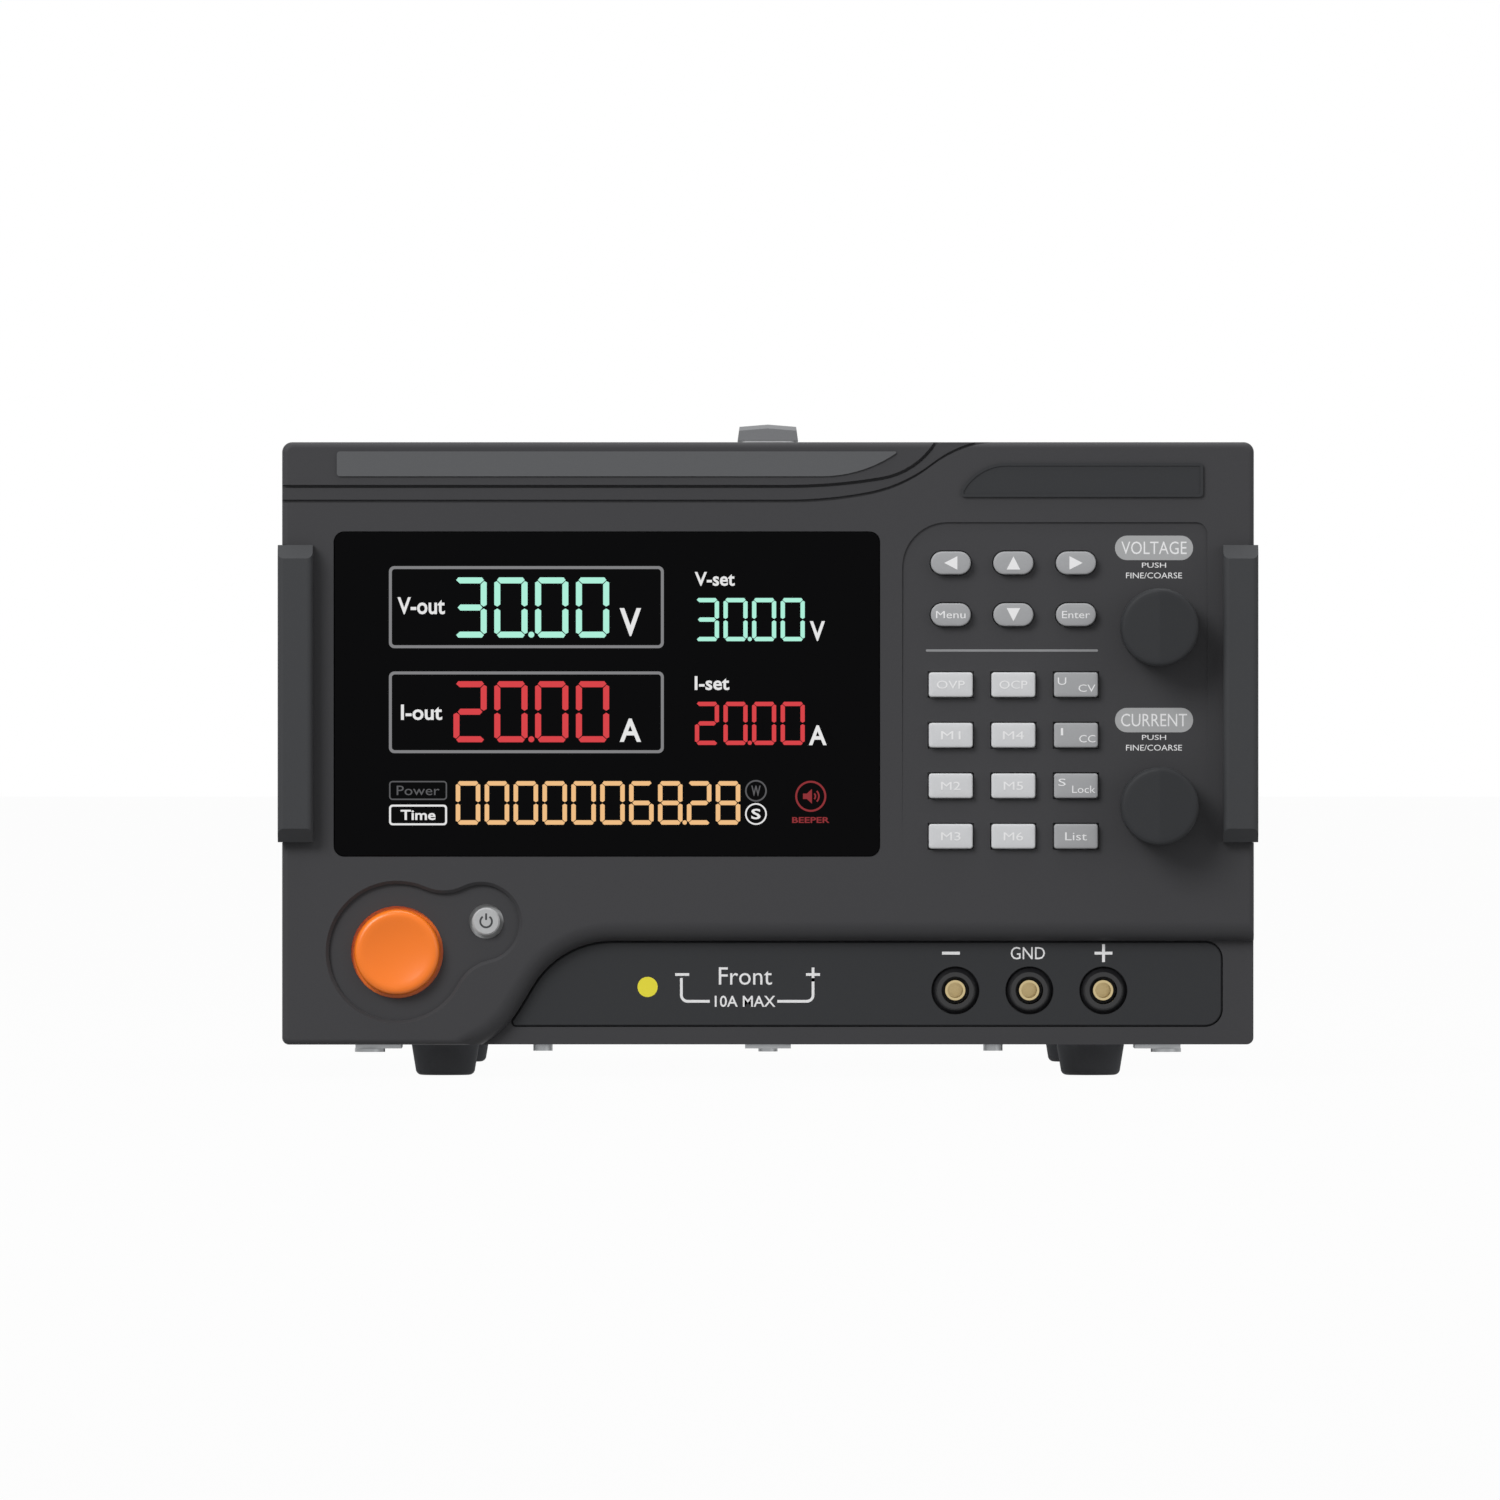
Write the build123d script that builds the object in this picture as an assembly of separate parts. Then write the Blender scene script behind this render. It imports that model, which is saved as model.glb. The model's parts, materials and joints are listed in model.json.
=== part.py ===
from build123d import *
import math
import os

# Bench power supply: a moulded front, a folded steel case and a strap handle.
# Millimetres. Seen from the front, X runs to the right and Z up; Y runs from the front to the back.
# Depths are measured from the front face of the moulding, and place() moves each piece into the frame,
# whose origin is on the floor, under the middle of the space that the supply takes up.

# Allowances: how far a cut runs past a face, and how far joined forms overlap
past = 1.0
weld = 0.1

# Case
case_width = 250.0
case_height = 155.0
case_depth = 280.0
case_top_corner = 2.6
case_bottom_corner = 1.8
foot_height = 8.3

# Front moulding
bezel_depth = 24.0
bezel_face = 3.0
bezel_wall = 2.5
bezel_rim = 1.5

# Curved step that leads down to the terminal area
step_depth = 5.4
step_round = 5.0
step_rise = 26.7
step_turn_margin = 85.0
step_turn_radius = 24.0
step_turn_angle = 59.0
step_slope = 7.0
step_foot_radius = 25.0
step_foot_angle = 29.0

# Channel across the top of the face, which sweeps up through the top edge
channel_drop = 11.0
channel_width = 4.6
channel_depth = 0.8
channel_margin = 120.0
channel_upper_turns = [(145.0, 9.6), (20.0, 48.4)]
channel_lower_turns = [(110.0, 10.8), (38.0, 27.2), (30.0, -38.0)]
groove_width = 0.8
groove_depth = 1.6

# Headline strip and small plate, both left bare
strip_margin = 14.1
strip_drop = 2.4
strip_height = 6.4
strip_right = 91.4
strip_sweep_radius = 34.0
strip_sheet = 0.5
strip_corner = 0.8
strip_tip = 0.3
plate_margin = 13.1
plate_drop = 5.4
plate_height = 8.7
plate_length = 62.3
plate_sweep_radius = 13.3
plate_toe = 1.6
plate_corner = 1.0
plate_sheet = 0.8
plate_rim = 0.7
plate_rim_height = 0.3

# Display
window_margin = 13.4
window_drop = 23.1
window_right = 96.3
window_rise = 48.5
window_corner = 2.6
window_sheet = 2.1
window_seat = 2.0
window_gap = 0.15
window_ledge = 3.0
screen_gap = 0.5

# Keypad
key_column_margin = 45.8
key_pitch = 16.1
oval_width = 10.3
oval_height = 5.9
oval_drop = 31.1
oval_pitch = 13.3
block_width = 11.3
block_height = 6.35
block_drop = 62.4
block_pitch = 13.0
key_stand = 1.9
key_edge = 0.35
key_gap = 0.3
key_travel = 1.0
key_flange = 0.8
key_flange_sheet = 1.2
key_stem = 2.6
flange_gap = 0.05
keypad_depth = 0.6
keypad_left = 90.5
keypad_right = 12.0
keypad_drop = 20.6
keypad_height = 87.0
keypad_sweep = 11.6
keypad_corner = 3.0

# Encoders and knobs
knob_margin = 24.5
knob_drop = 47.7
knob_pitch = 45.9
knob_radius = 10.0
knob_stand = 14.5
knob_gap = 1.0
knob_rim = 1.1
knob_ridge = 0.5
knob_wall = 1.6
knob_roof = 3.0
knob_hub_radius = 4.6
shaft_radius = 3.0
shaft_grip = 9.0
shaft_gap = 0.05
shaft_collar_radius = 4.0
shaft_collar = 1.5
bush_radius = 3.5
bush_gap = 0.2
bush_recess = 0.4
encoder_width = 13.4
encoder_depth = 8.0
encoder_front = 2.0
plunger_disc = 1.0
plunger_pin_radius = 1.5
plunger_pin = 2.0
plunger_rest = 0.8

# Buttons in the teardrop recess
output_margin = 29.6
output_rise = 23.8
output_radius = 11.0
output_gap = 0.85
output_stand = 2.2
output_chamfer = 1.4
output_lip = 0.4
output_dish = 1.1
output_flange = 2.2
output_travel = 1.5
output_stem_radius = 4.0
power_offset_x = 22.9
power_offset_z = 7.9
power_radius = 3.55
power_gap = 0.9
power_stand = 0.2
power_edge = 0.4
power_flange = 1.4
power_travel = 0.8
recess_depth = 1.8
recess_radius = 17.6
recess_far_radius = 9.8
recess_reach_x = 21.6
recess_reach_z = 7.55
recess_waist_radius = 12.0
recess_chamfer = 0.8

# Terminal area
panel_sheet = 2.0
panel_gap = 0.3
panel_margin = 8.2
panel_rise = 4.8
panel_corner = 4.3
panel_toe = 1.0
panel_edge = 0.3
jack_margin = 57.7
jack_rise = 13.9
jack_pitch = 19.05
jack_collar_radius = 5.9
jack_hole_radius = 3.58
jack_slope = 1.2
jack_stand = 0.3
jack_barrel_radius = 4.9
jack_length = 30.0
jack_gap = 0.3
jack_nut_width = 13.0
jack_nut_sheet = 3.0
contact_bore_radius = 2.0
contact_radius = 2.6
contact_front = 3.6
contact_length = 30.0
contact_depth = 21.0

# Side grips
grip_width = 9.0
grip_proud = 1.0
grip_stand = 7.0
grip_length = 76.4
grip_drop = 26.5
grip_reach = 20.0
grip_seat = 1.5
grip_chamfer = 3.5
grip_round = 1.6
grip_gap = 0.1

# Strap handle
handle_width = 15.7
handle_top_width = 14.7
handle_rise = 3.6
handle_ridge = 0.6
handle_pad = 1.7
handle_front = 46.0
handle_span = 190.0
handle_cap = 34.0
handle_cap_wall = 1.2
handle_cap_end = 2.4
handle_cap_chamfer = 1.0
pad_inset = 0.2
pad_corner = 2.0
strap_sheet = 2.4
strap_gap = 0.1
strap_rib = 0.8
strap_rib_gap = 4.0
strap_rib_inset = 1.5
strap_rib_corner = 4.0

# Sheet-metal case
cover_inset = 0.6
cover_sheet = 1.0
cover_bend = 2.0
cover_gap = 0.3
cover_lift = 0.4
cover_hem = 3.0
seam_gap = 0.1
vent_width = 3.2
vent_length = 30.0
vent_pitch = 7.0
vent_count = 12
vent_front = 48.0
vent_rise = 78.0
chassis_sheet = 1.2
chassis_flange = 13.0
chassis_flange_end = 22.0
rear_sheet = 1.5
rear_recess = 0.8
rear_flange = 10.0
rear_flange_end = 2.0
tongue_sheet = 1.1
tongue_width = 11.8
tongue_margin = 24.6
tongue_reach = 15.0
tongue_lap = 8.0

# Feet
foot_spread = 167.0
foot_top_radius = 8.8
foot_bottom_radius = 7.7
foot_chamfer = 1.3
foot_front = 34.0
foot_rear = 30.0

# Screws
flange_head_radius = 3.9
flange_head = 0.9
flange_shank_radius = 1.5
flange_shank = 4.0
pan_head_radius = 2.5
pan_head = 1.7
screw_gap = 0.1
side_screw_rise = 5.0
side_screw_front = 42.0
side_screw_pitch = 105.0
tongue_screw_shift = 2.2
tongue_screw_depth = 12.0
edge_boss_radius = 3.2
edge_boss = 5.5
edge_screw_spread = 58.0
centre_head_seat = 0.9

# Front board
board_sheet = 1.6
board_stand = 7.4
board_margin = 10.0
board_top = 13.0
board_bottom = 7.0
board_step_rise = 36.0
board_step_margin = 62.0
boss_radius = 3.2
boss_root = 0.5
boss_inset = 5.0
switch_width = 6.0
switch_gap = 0.1
switch_height = 1.2

# Power board and what stands on it
standoff_height = 8.0
standoff_radius = 3.0
main_board_width = 176.0
main_board_front = 44.0
main_board_length = 184.0
main_board_shift = 14.0
standoff_inset = 6.0
transformer_width = 54.0
transformer_length = 46.0
transformer_height = 44.0
transformer_front = 96.0
transformer_shift = -24.0
core_length = 18.4
core_post = 12.0
winding_corner = 6.0
capacitor_radius = 12.5
capacitor_height = 42.0
capacitor_pitch = 28.0
capacitor_front = 170.0
capacitor_shift = -38.0
sink_length = 120.0
sink_height = 58.0
sink_base = 4.0
sink_fin = 1.6
sink_fin_reach = 14.0
sink_fin_count = 7
sink_fin_margin = 2.0
sink_front = 74.0
sink_inset = 8.0

# Fan
fan_size = 80.0
fan_depth = 25.0
fan_bore = 38.0
fan_corner = 5.0
fan_hub_radius = 17.5
fan_tip_gap = 1.0
fan_blades = 7
fan_blade_twist = 34.0
fan_blade_sheet = 1.4
fan_blade_end = 1.5
fan_hub_wall = 1.8
fan_base = 3.0
fan_strut = 4.0
fan_axle_radius = 1.5
fan_axle_gap = 0.05
fan_run_gap = 0.8
fan_margin = 60.0
fan_rise = 84.0
fan_hole_spacing = 71.5
guard_wire = 1.6
guard_radii = [16.0, 27.0, 38.0]
guard_ear = 3.6

# Mains inlet with its rocker
inlet_margin = 30.0
inlet_rise = 58.0
inlet_plate_width = 33.0
inlet_plate_height = 60.0
inlet_plate_corner = 3.0
inlet_plate = 2.5
inlet_edge = 0.6
inlet_body_width = 28.0
inlet_body_height = 54.0
inlet_body_depth = 24.0
inlet_gap = 0.2
cavity_width = 24.4
cavity_height = 16.6
cavity_chamfer = 4.5
cavity_depth = 17.0
cavity_drop = 12.5
blade_width = 2.0
blade_height = 4.0
blade_length = 13.5
blade_spread = 7.0
blade_offset = 2.0
blade_tail = 8.0
blade_edge = 0.5
rocker_width = 20.0
rocker_height = 13.6
rocker_rise = 14.0
rocker_depth = 12.0
rocker_gap = 0.35
rocker_tilt = 8.0
rocker_pivot = 3.0
rocker_pin_radius = 1.0
rocker_pin_gap = 0.05
rocker_pin_reach = 1.0
rocker_root = 2.0
rocker_heel = 1.5
rocker_lip = 0.6
rocker_valley = 0.4

# Rear binding posts
post_margin = 96.0
post_pitch = 26.0
post_rise = 30.0
post_base_radius = 8.5
post_base = 5.0
post_neck_radius = 5.5
post_neck = 5.0
post_neck_gap = 0.2
stud_radius = 3.0
stud_fit = 0.05
stud_stand = 27.0
stud_tail = 14.0
stud_nut_width = 10.0
stud_nut_sheet = 5.0
washer_radius = 6.5
washer_sheet = 1.4
thumb_radius = 8.0
thumb_length = 15.0
thumb_collar_radius = 6.5
thumb_collar = 3.0
thumb_flutes = 8
thumb_flute_radius = 1.6
thumb_flute_depth = 1.0

# Places that several pieces share
half_width = case_width / 2
screw_hole = flange_shank_radius + screw_gap
base = foot_height
top = base + case_height
cover_x = half_width - cover_inset
cover_top = top - cover_inset
cover_front = bezel_depth + cover_gap
rear_face = case_depth - rear_recess
rear_inner = rear_face - rear_sheet
floor_top = base + chassis_sheet
inner_x = cover_x - cover_sheet - seam_gap
board_front = bezel_face + board_stand
board_back = board_front + board_sheet
step_line = base + step_rise
beyond = half_width + 15
post_reach = rear_face + stud_stand - case_depth
face_shift = (max(knob_stand, grip_stand) - case_depth - max(post_reach, 0)) / 2
knob_x = half_width - knob_margin
knob_z = [top - knob_drop, top - knob_drop - knob_pitch]
side_screw_z = base + chassis_sheet + side_screw_rise
output_x = -half_width + output_margin
output_z = base + output_rise
power_x = output_x + power_offset_x
power_z = output_z + power_offset_z
jack_x = [half_width - jack_margin + jack_pitch * i for i in (-1, 0, 1)]
jack_z = base + jack_rise
panel_face = step_depth
panel_back = panel_face + panel_sheet
window_width = case_width - window_margin - window_right
window_height = case_height - window_drop - window_rise
window_x = -half_width + window_margin + window_width / 2
window_z = top - window_drop - window_height / 2
channel_start = half_width - channel_margin
board_top_z = top - board_top
main_board_z = floor_top + standoff_height
main_board_top = main_board_z + board_sheet
fan_x = half_width - fan_margin
fan_z = base + fan_rise
fan_front = rear_inner - fan_depth
mouth = rear_face + inlet_plate
rocker_depth_axis = mouth - rocker_pivot
inlet_x = -half_width + inlet_margin
inlet_z = base + inlet_rise
rocker_z = inlet_z + rocker_rise
cavity_z = inlet_z - cavity_drop
post_x = [-half_width + post_margin + post_pitch * i for i in (0, 1)]
post_z = base + post_rise
foot_places = [
    (side * foot_spread / 2, depth)
    for side in (-1, 1)
    for depth in (foot_front, case_depth - foot_rear)
]


# Moves a piece from the face's depth into the part's own frame
def place(piece):
    return Pos(0, face_shift, 0) * piece


# An outline drawn in X and Z, made solid from one depth to another
def prism(outline, front, back):
    return extrude(Plane.XZ.offset(-back) * outline, back - front)


# An outline drawn in X and Y, made solid from one height to another
def column(outline, bottom, ceiling):
    return extrude(Pos(0, 0, bottom) * outline, ceiling - bottom)


def block(left, right, front, back, bottom, ceiling):
    middle = Pos((left + right) / 2, (front + back) / 2, (bottom + ceiling) / 2)
    return middle * Box(right - left, back - front, ceiling - bottom)


# Round bar along Y
def rod(x, z, radius, front, back):
    return prism(Pos(x, z) * Circle(radius), front, back)


def rounded(x, z, width, height, radius):
    return Pos(x, z) * RectangleRounded(width, height, radius)


def rectangle(left, right, bottom, ceiling):
    return Pos((left + right) / 2, (bottom + ceiling) / 2) * Rectangle(right - left, ceiling - bottom)


# Flat faces of a piece that look along the depth, from the front one to the back one
def level_faces(piece):
    return piece.faces().filter_by(Axis.Y).sort_by(Axis.Y)


def front_face(piece):
    return level_faces(piece)[0]


def back_face(piece):
    return level_faces(piece)[-1]


# Slab between a place on one side of the case and another nearer or further out
def side_block(first, second, front, back, bottom, ceiling):
    return block(min(first, second), max(first, second), front, back, bottom, ceiling)


# Round hole through both sides of the case
def side_hole(x, depth, z, radius):
    plane = Plane.YZ.offset(x)
    return extrude(plane * Pos(depth, z) * Circle(radius), grip_width, both=True)


def hexagon(x, z, width):
    return Pos(x, z) * RegularPolygon(width / 2, 6, major_radius=False)


# Level line that ends in a chain of tangent arcs; shift moves it down without changing its centres
def swept_line(start, level, turns, shift):
    lines = [Line((-beyond, level - shift), (start, level - shift))]
    for radius, turn in turns:
        end = lines[-1]
        lines.append(JernArc(end @ 1, end % 1, radius + math.copysign(shift, turn), turn))
    return lines


# From the end of a swept line to a level above the case: straight on if it climbs, else straight up
def run_out(lines, high):
    end = lines[-1] @ 1
    heading = lines[-1] % 1
    if heading.Y > math.sin(math.radians(5)):
        return Line(end, end + heading * ((high - end.Y) / heading.Y))
    return Line(end, (end.X, high))


# Region between two swept lines, closed above the top edge of the case
def swept_band(upper, lower):
    high = top + channel_drop
    upper_out = run_out(upper, high)
    lower_out = run_out(lower, high)
    roof = Line(upper_out @ 1, lower_out @ 1)
    end = Line(upper[0] @ 0, lower[0] @ 0)
    return make_face(upper + lower + [upper_out, lower_out, roof, end])


def channel_outline():
    upper = swept_line(channel_start, top - channel_drop, channel_upper_turns, 0)
    lower = swept_line(channel_start, top - channel_drop - channel_width, channel_lower_turns, 0)
    return swept_band(upper, lower)


# Narrow groove along each edge of the channel
def upper_groove():
    level = top - channel_drop
    upper = swept_line(channel_start, level, channel_upper_turns, 0)
    lower = swept_line(channel_start, level, channel_upper_turns, groove_width)
    return swept_band(upper, lower)


def lower_groove():
    level = top - channel_drop - channel_width
    upper = swept_line(channel_start, level, channel_lower_turns, -groove_width)
    lower = swept_line(channel_start, level, channel_lower_turns, 0)
    return swept_band(upper, lower)


# Terminal area, bounded by the foot of the curved step; grow moves the curve outwards
def terminal_outline(grow):
    right = beyond
    low = base - step_rise
    level = step_line + grow
    start = Line((right, level), (-half_width + step_turn_margin, level))
    fall = JernArc(start @ 1, start % 1, step_turn_radius + grow, step_turn_angle)
    slope = Line(fall @ 1, fall @ 1 + (fall % 1) * step_slope)
    foot = JernArc(slope @ 1, slope % 1, step_foot_radius - grow, -step_foot_angle)
    heading = foot % 1
    run = (low - (foot @ 1).Y) / heading.Y
    out = Line(foot @ 1, foot @ 1 + heading * run)
    under = Line(out @ 1, (right, low))
    side = Line((right, low), (right, level))
    return make_face([start, fall, slope, foot, out, under, side])


# Two circles joined by two hollow arcs
def teardrop_outline():
    big = Vector(output_x, output_z)
    reach = Vector(recess_reach_x, recess_reach_z)
    small = big + reach
    span = reach.length
    along = reach.normalized()
    across = along.rotate(Axis.Z, 90)
    big_sum = recess_radius + recess_waist_radius
    small_sum = recess_far_radius + recess_waist_radius
    near = (span**2 + big_sum**2 - small_sum**2) / (2 * span)
    aside = math.sqrt(big_sum**2 - near**2)
    upper = big + along * near + across * aside
    lower = big + along * near - across * aside
    big_upper = big + (upper - big).normalized() * recess_radius
    big_lower = big + (lower - big).normalized() * recess_radius
    small_upper = small + (upper - small).normalized() * recess_far_radius
    small_lower = small + (lower - small).normalized() * recess_far_radius
    return make_face(
        [
            ThreePointArc(big_upper, big - along * recess_radius, big_lower),
            ThreePointArc(big_lower, lower + across * recess_waist_radius, small_lower),
            ThreePointArc(small_lower, small + along * recess_far_radius, small_upper),
            ThreePointArc(small_upper, upper - across * recess_waist_radius, big_upper),
        ]
    )


def case_outline():
    sheet = rectangle(-half_width, half_width, base, top)
    sheet = fillet(sheet.vertices().group_by(Axis.Y)[-1], case_top_corner)
    return fillet(sheet.vertices().group_by(Axis.Y)[0], case_bottom_corner)


def oval_outline(x, z, grow=0):
    height = oval_height + 2 * grow
    return Pos(x, z) * SlotOverall(oval_width + 2 * grow, height)


def block_outline(x, z, grow=0):
    return Pos(x, z) * Rectangle(block_width + 2 * grow, block_height + 2 * grow)


# Keys by name, with the outline and place of each
def key_places():
    columns = [half_width - key_column_margin - key_pitch * i for i in (2, 1, 0)]
    ovals = [["left", "up", "right"], ["menu", "down", "enter"]]
    blocks = [["ovp", "ocp", "cv"], ["m1", "m4", "cc"], ["m2", "m5", "lock"], ["m3", "m6", "list"]]
    places = {}
    for row, names in enumerate(ovals):
        for x, name in zip(columns, names):
            places["key_" + name] = (oval_outline, x, top - oval_drop - oval_pitch * row)
    for row, names in enumerate(blocks):
        for x, name in zip(columns, names):
            places["key_" + name] = (block_outline, x, top - block_drop - block_pitch * row)
    return places


def panel_outline(grow):
    right = half_width - panel_margin
    sheet = rectangle(-half_width, right + grow, base + panel_rise - grow, step_line + step_rise)
    sheet = fillet(sheet.vertices().group_by(Axis.X)[-1].sort_by(Axis.Y)[0], panel_corner + grow)
    sheet = sheet & terminal_outline(grow - panel_gap)
    corner = sheet.vertices().group_by(Axis.X)[-1].sort_by(Axis.Y)[-1]
    sheet = fillet(corner, panel_corner + grow)
    toe = sheet.vertices().sort_by(Axis.X)[0]
    return fillet(toe, panel_toe + grow)


# Shallow recess round the keys, deepest along its top and run out to nothing at its bottom edge
def keypad_recess():
    left = half_width - keypad_left
    right = half_width - keypad_right
    ceiling = top - keypad_drop
    bottom = ceiling - keypad_height
    sheet = rectangle(left, right, bottom, ceiling)
    corners = sheet.vertices().group_by(Axis.Y)[-1].sort_by(Axis.X)
    sheet = fillet(corners[1], keypad_corner)
    sheet = fillet(sheet.vertices().group_by(Axis.X)[0].sort_by(Axis.Y)[-1], keypad_sweep)
    cut = prism(sheet, -past, keypad_depth)
    slant = make_face(
        Polyline((-past, bottom), (0, bottom), (keypad_depth, ceiling), (-past, ceiling), close=True)
    )
    return cut & extrude(Plane.YZ.offset(left) * slant, right - left)


def grip_span():
    ceiling = top - grip_drop
    return ceiling - grip_length, ceiling


# Outer form of the moulding, with its round rim and the step worked into it
def bezel_form():
    form = prism(case_outline(), 0, bezel_depth)
    form = fillet(front_face(form).edges(), bezel_rim)
    low = base - step_rise
    high = top + step_rise
    stepped = block(-beyond, beyond, 0, bezel_depth, low, high)
    stepped -= prism(terminal_outline(0), -past, step_depth)
    crest = [
        edge
        for edge in front_face(stepped).edges()
        if abs(edge.center().X) < beyond - weld and low + weld < edge.center().Z < high - weld
    ]
    return form & fillet(crest, step_round)


# Space behind the face; the terminal area keeps a floor of its own
def bezel_hollow():
    hollow = block(
        -half_width + bezel_wall,
        half_width - bezel_wall,
        bezel_face,
        bezel_depth + past,
        base + bezel_wall,
        top - bezel_wall,
    )
    return hollow - prism(terminal_outline(bezel_face), 0, step_depth + bezel_face)


# Stepped opening for the display window
def window_cut():
    gap = 2 * window_gap
    ledge = 2 * window_ledge
    seat = rounded(
        window_x, window_z, window_width + gap, window_height + gap, window_corner + window_gap
    )
    opening = rounded(window_x, window_z, window_width - ledge, window_height - ledge, window_corner)
    return prism(seat, -past, window_seat) + prism(opening, 0, bezel_face + past)


# Openings for the keys, encoders, buttons and sockets
def bezel_holes():
    through = bezel_face + past
    holes = [prism(outline(x, z, key_gap), -past, through) for outline, x, z in key_places().values()]
    holes += [rod(knob_x, z, bush_radius + bush_gap, -past, through) for z in knob_z]
    holes.append(rod(output_x, output_z, output_radius + output_gap, 0, through))
    holes.append(rod(power_x, power_z, power_radius + power_gap, 0, through))
    barrel = jack_barrel_radius + jack_gap
    holes += [rod(x, jack_z, barrel, step_depth, step_depth + through) for x in jack_x]
    return holes


def front_bezel():
    form = bezel_form() - bezel_hollow()
    form -= prism(channel_outline(), -past, channel_depth)
    form -= prism(upper_groove(), -past, groove_depth)
    form -= prism(lower_groove(), -past, groove_depth)
    form -= keypad_recess()
    form -= prism(teardrop_outline(), -past, recess_depth)
    form = chamfer([edge for edge in form.edges() if teardrop_rim(edge)], recess_chamfer)
    form -= window_cut()
    form -= prism(panel_outline(panel_gap), step_depth - past, panel_back)
    for hole in bezel_holes():
        form -= hole

    # Seats of the side grips
    bottom, ceiling = grip_span()
    for side in (-1, 1):
        outer = side * (half_width + past)
        cheek = side * (half_width - grip_seat)
        form -= side_block(
            outer, cheek, -past, grip_reach + grip_gap, bottom - grip_gap, ceiling + grip_gap
        )

    # Bosses that carry the front board, and bosses over the screws under the front edge
    for x, z in boss_places():
        form += rod(x, z, boss_radius, bezel_face - boss_root, board_front)
    for x in edge_screw_places():
        spot = Pos(x, tongue_screw_depth)
        form += column(spot * Circle(edge_boss_radius), base + boss_root, base + edge_boss)
        form -= column(spot * Circle(screw_hole), base - past, base + edge_boss + past)
    return form


# Whether an edge lies where the teardrop recess breaks through the face
def teardrop_rim(edge):
    middle = edge.center()
    on_face = all(abs(edge.position_at(share).Y) < weld / 10 for share in (0, 0.5, 1))
    span = recess_radius + recess_far_radius + recess_reach_x
    near = math.hypot(middle.X - output_x, middle.Z - output_z) < span
    below = middle.Z < window_z - window_height / 2
    return on_face and near and below and edge.length > 1


def boss_places():
    left = -half_width + board_margin + boss_inset
    right = -left
    high = board_top_z - boss_inset
    low = base + board_bottom + boss_inset
    step = base + board_step_rise + boss_inset
    return [(left, high), (right, high), (left, low), (right, step)]


def display_window():
    sheet = rounded(window_x, window_z, window_width, window_height, window_corner)
    pane = prism(sheet, window_seat - window_sheet, window_seat)
    return chamfer(front_face(pane).edges(), window_gap)


# Screen in the opening of the bezel, on a wider frame that rests on the back of the face
def display_module():
    inset = 2 * (window_ledge + screen_gap)
    sheet = rounded(window_x, window_z, window_width - inset, window_height - inset, window_corner)
    screen = prism(sheet, window_seat + flange_gap, bezel_face + weld)
    frame = Pos(window_x, window_z) * Rectangle(window_width, window_height)
    return screen + prism(frame, bezel_face, board_front)


def name_strip():
    left = -half_width + strip_margin
    right = half_width - strip_right
    ceiling = top - strip_drop
    bottom = ceiling - strip_height
    sweep = math.degrees(math.acos(1 - strip_height / strip_sweep_radius))
    run = strip_sweep_radius * math.sin(math.radians(sweep))
    floor = Line((left, bottom), (right - run, bottom))
    rise = JernArc(floor @ 1, floor % 1, strip_sweep_radius, sweep)
    roof = Line(rise @ 1, (left, ceiling))
    end = Line((left, ceiling), (left, bottom))
    sheet = make_face([floor, rise, roof, end])
    sheet = fillet(sheet.vertices().group_by(Axis.X)[0], strip_corner)
    sheet = fillet(sheet.vertices().sort_by(Axis.X)[-1], strip_tip)
    return prism(sheet, -strip_sheet, 0)


def model_plate():
    right = half_width - plate_margin
    left = right - plate_length
    ceiling = top - plate_drop
    bottom = ceiling - plate_height
    sweep = math.degrees(math.acos(1 - (plate_height - plate_toe) / plate_sweep_radius))
    run = plate_sweep_radius * math.sin(math.radians(sweep))
    roof = Line((right, ceiling), (left + run, ceiling))
    fall = JernArc(roof @ 1, roof % 1, plate_sweep_radius, sweep)
    toe = Line(fall @ 1, ((fall @ 1).X, bottom))
    floor = Line(toe @ 1, (right, bottom))
    side = Line((right, bottom), (right, ceiling))
    sheet = make_face([roof, fall, toe, floor, side])
    corners = [v for v in sheet.vertices() if v.X > right - weld or v.Y < bottom + weld]
    sheet = fillet(corners, plate_corner)
    plate = prism(sheet, -plate_sheet, 0)
    floor = -plate_sheet + plate_rim_height
    return plate - prism(offset(sheet, -plate_rim), -plate_sheet - past, floor)


def output_panel():
    panel = prism(panel_outline(0), panel_face, panel_back)
    panel = chamfer(front_face(panel).edges(), panel_edge)
    for x in jack_x:
        panel -= rod(x, jack_z, jack_collar_radius + jack_gap, panel_face - past, panel_back + past)
    return panel


# Socket body with its sloped collar, open bore for the shrouded plug, and clamping nut
def front_jacks():
    pieces = []
    front = panel_face - jack_stand
    back = front + jack_length
    socket_back = back - contact_length + contact_depth
    nut_front = step_depth + bezel_face
    nut_back = nut_front + jack_nut_sheet
    for x in jack_x:
        collar = rod(x, jack_z, jack_collar_radius, front, panel_back)
        collar = chamfer(front_face(collar).edges(), jack_slope)
        body = collar + rod(x, jack_z, jack_barrel_radius, panel_back - weld, back)
        body -= rod(x, jack_z, jack_hole_radius, front - past, socket_back)
        body -= rod(x, jack_z, contact_radius + stud_fit, front, back + past)
        pieces.append(body)
        nut = prism(hexagon(x, jack_z, jack_nut_width), nut_front, nut_back)
        bore = rod(x, jack_z, jack_barrel_radius + stud_fit, nut_front - past, nut_back + past)
        pieces.append(nut - bore)
    return pieces


def jack_contacts():
    front = panel_face - jack_stand + contact_front
    pieces = []
    for x in jack_x:
        sleeve = rod(x, jack_z, contact_radius, front, front + contact_length)
        pieces.append(sleeve - rod(x, jack_z, contact_bore_radius, front - past, front + contact_depth))
    return pieces


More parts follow.
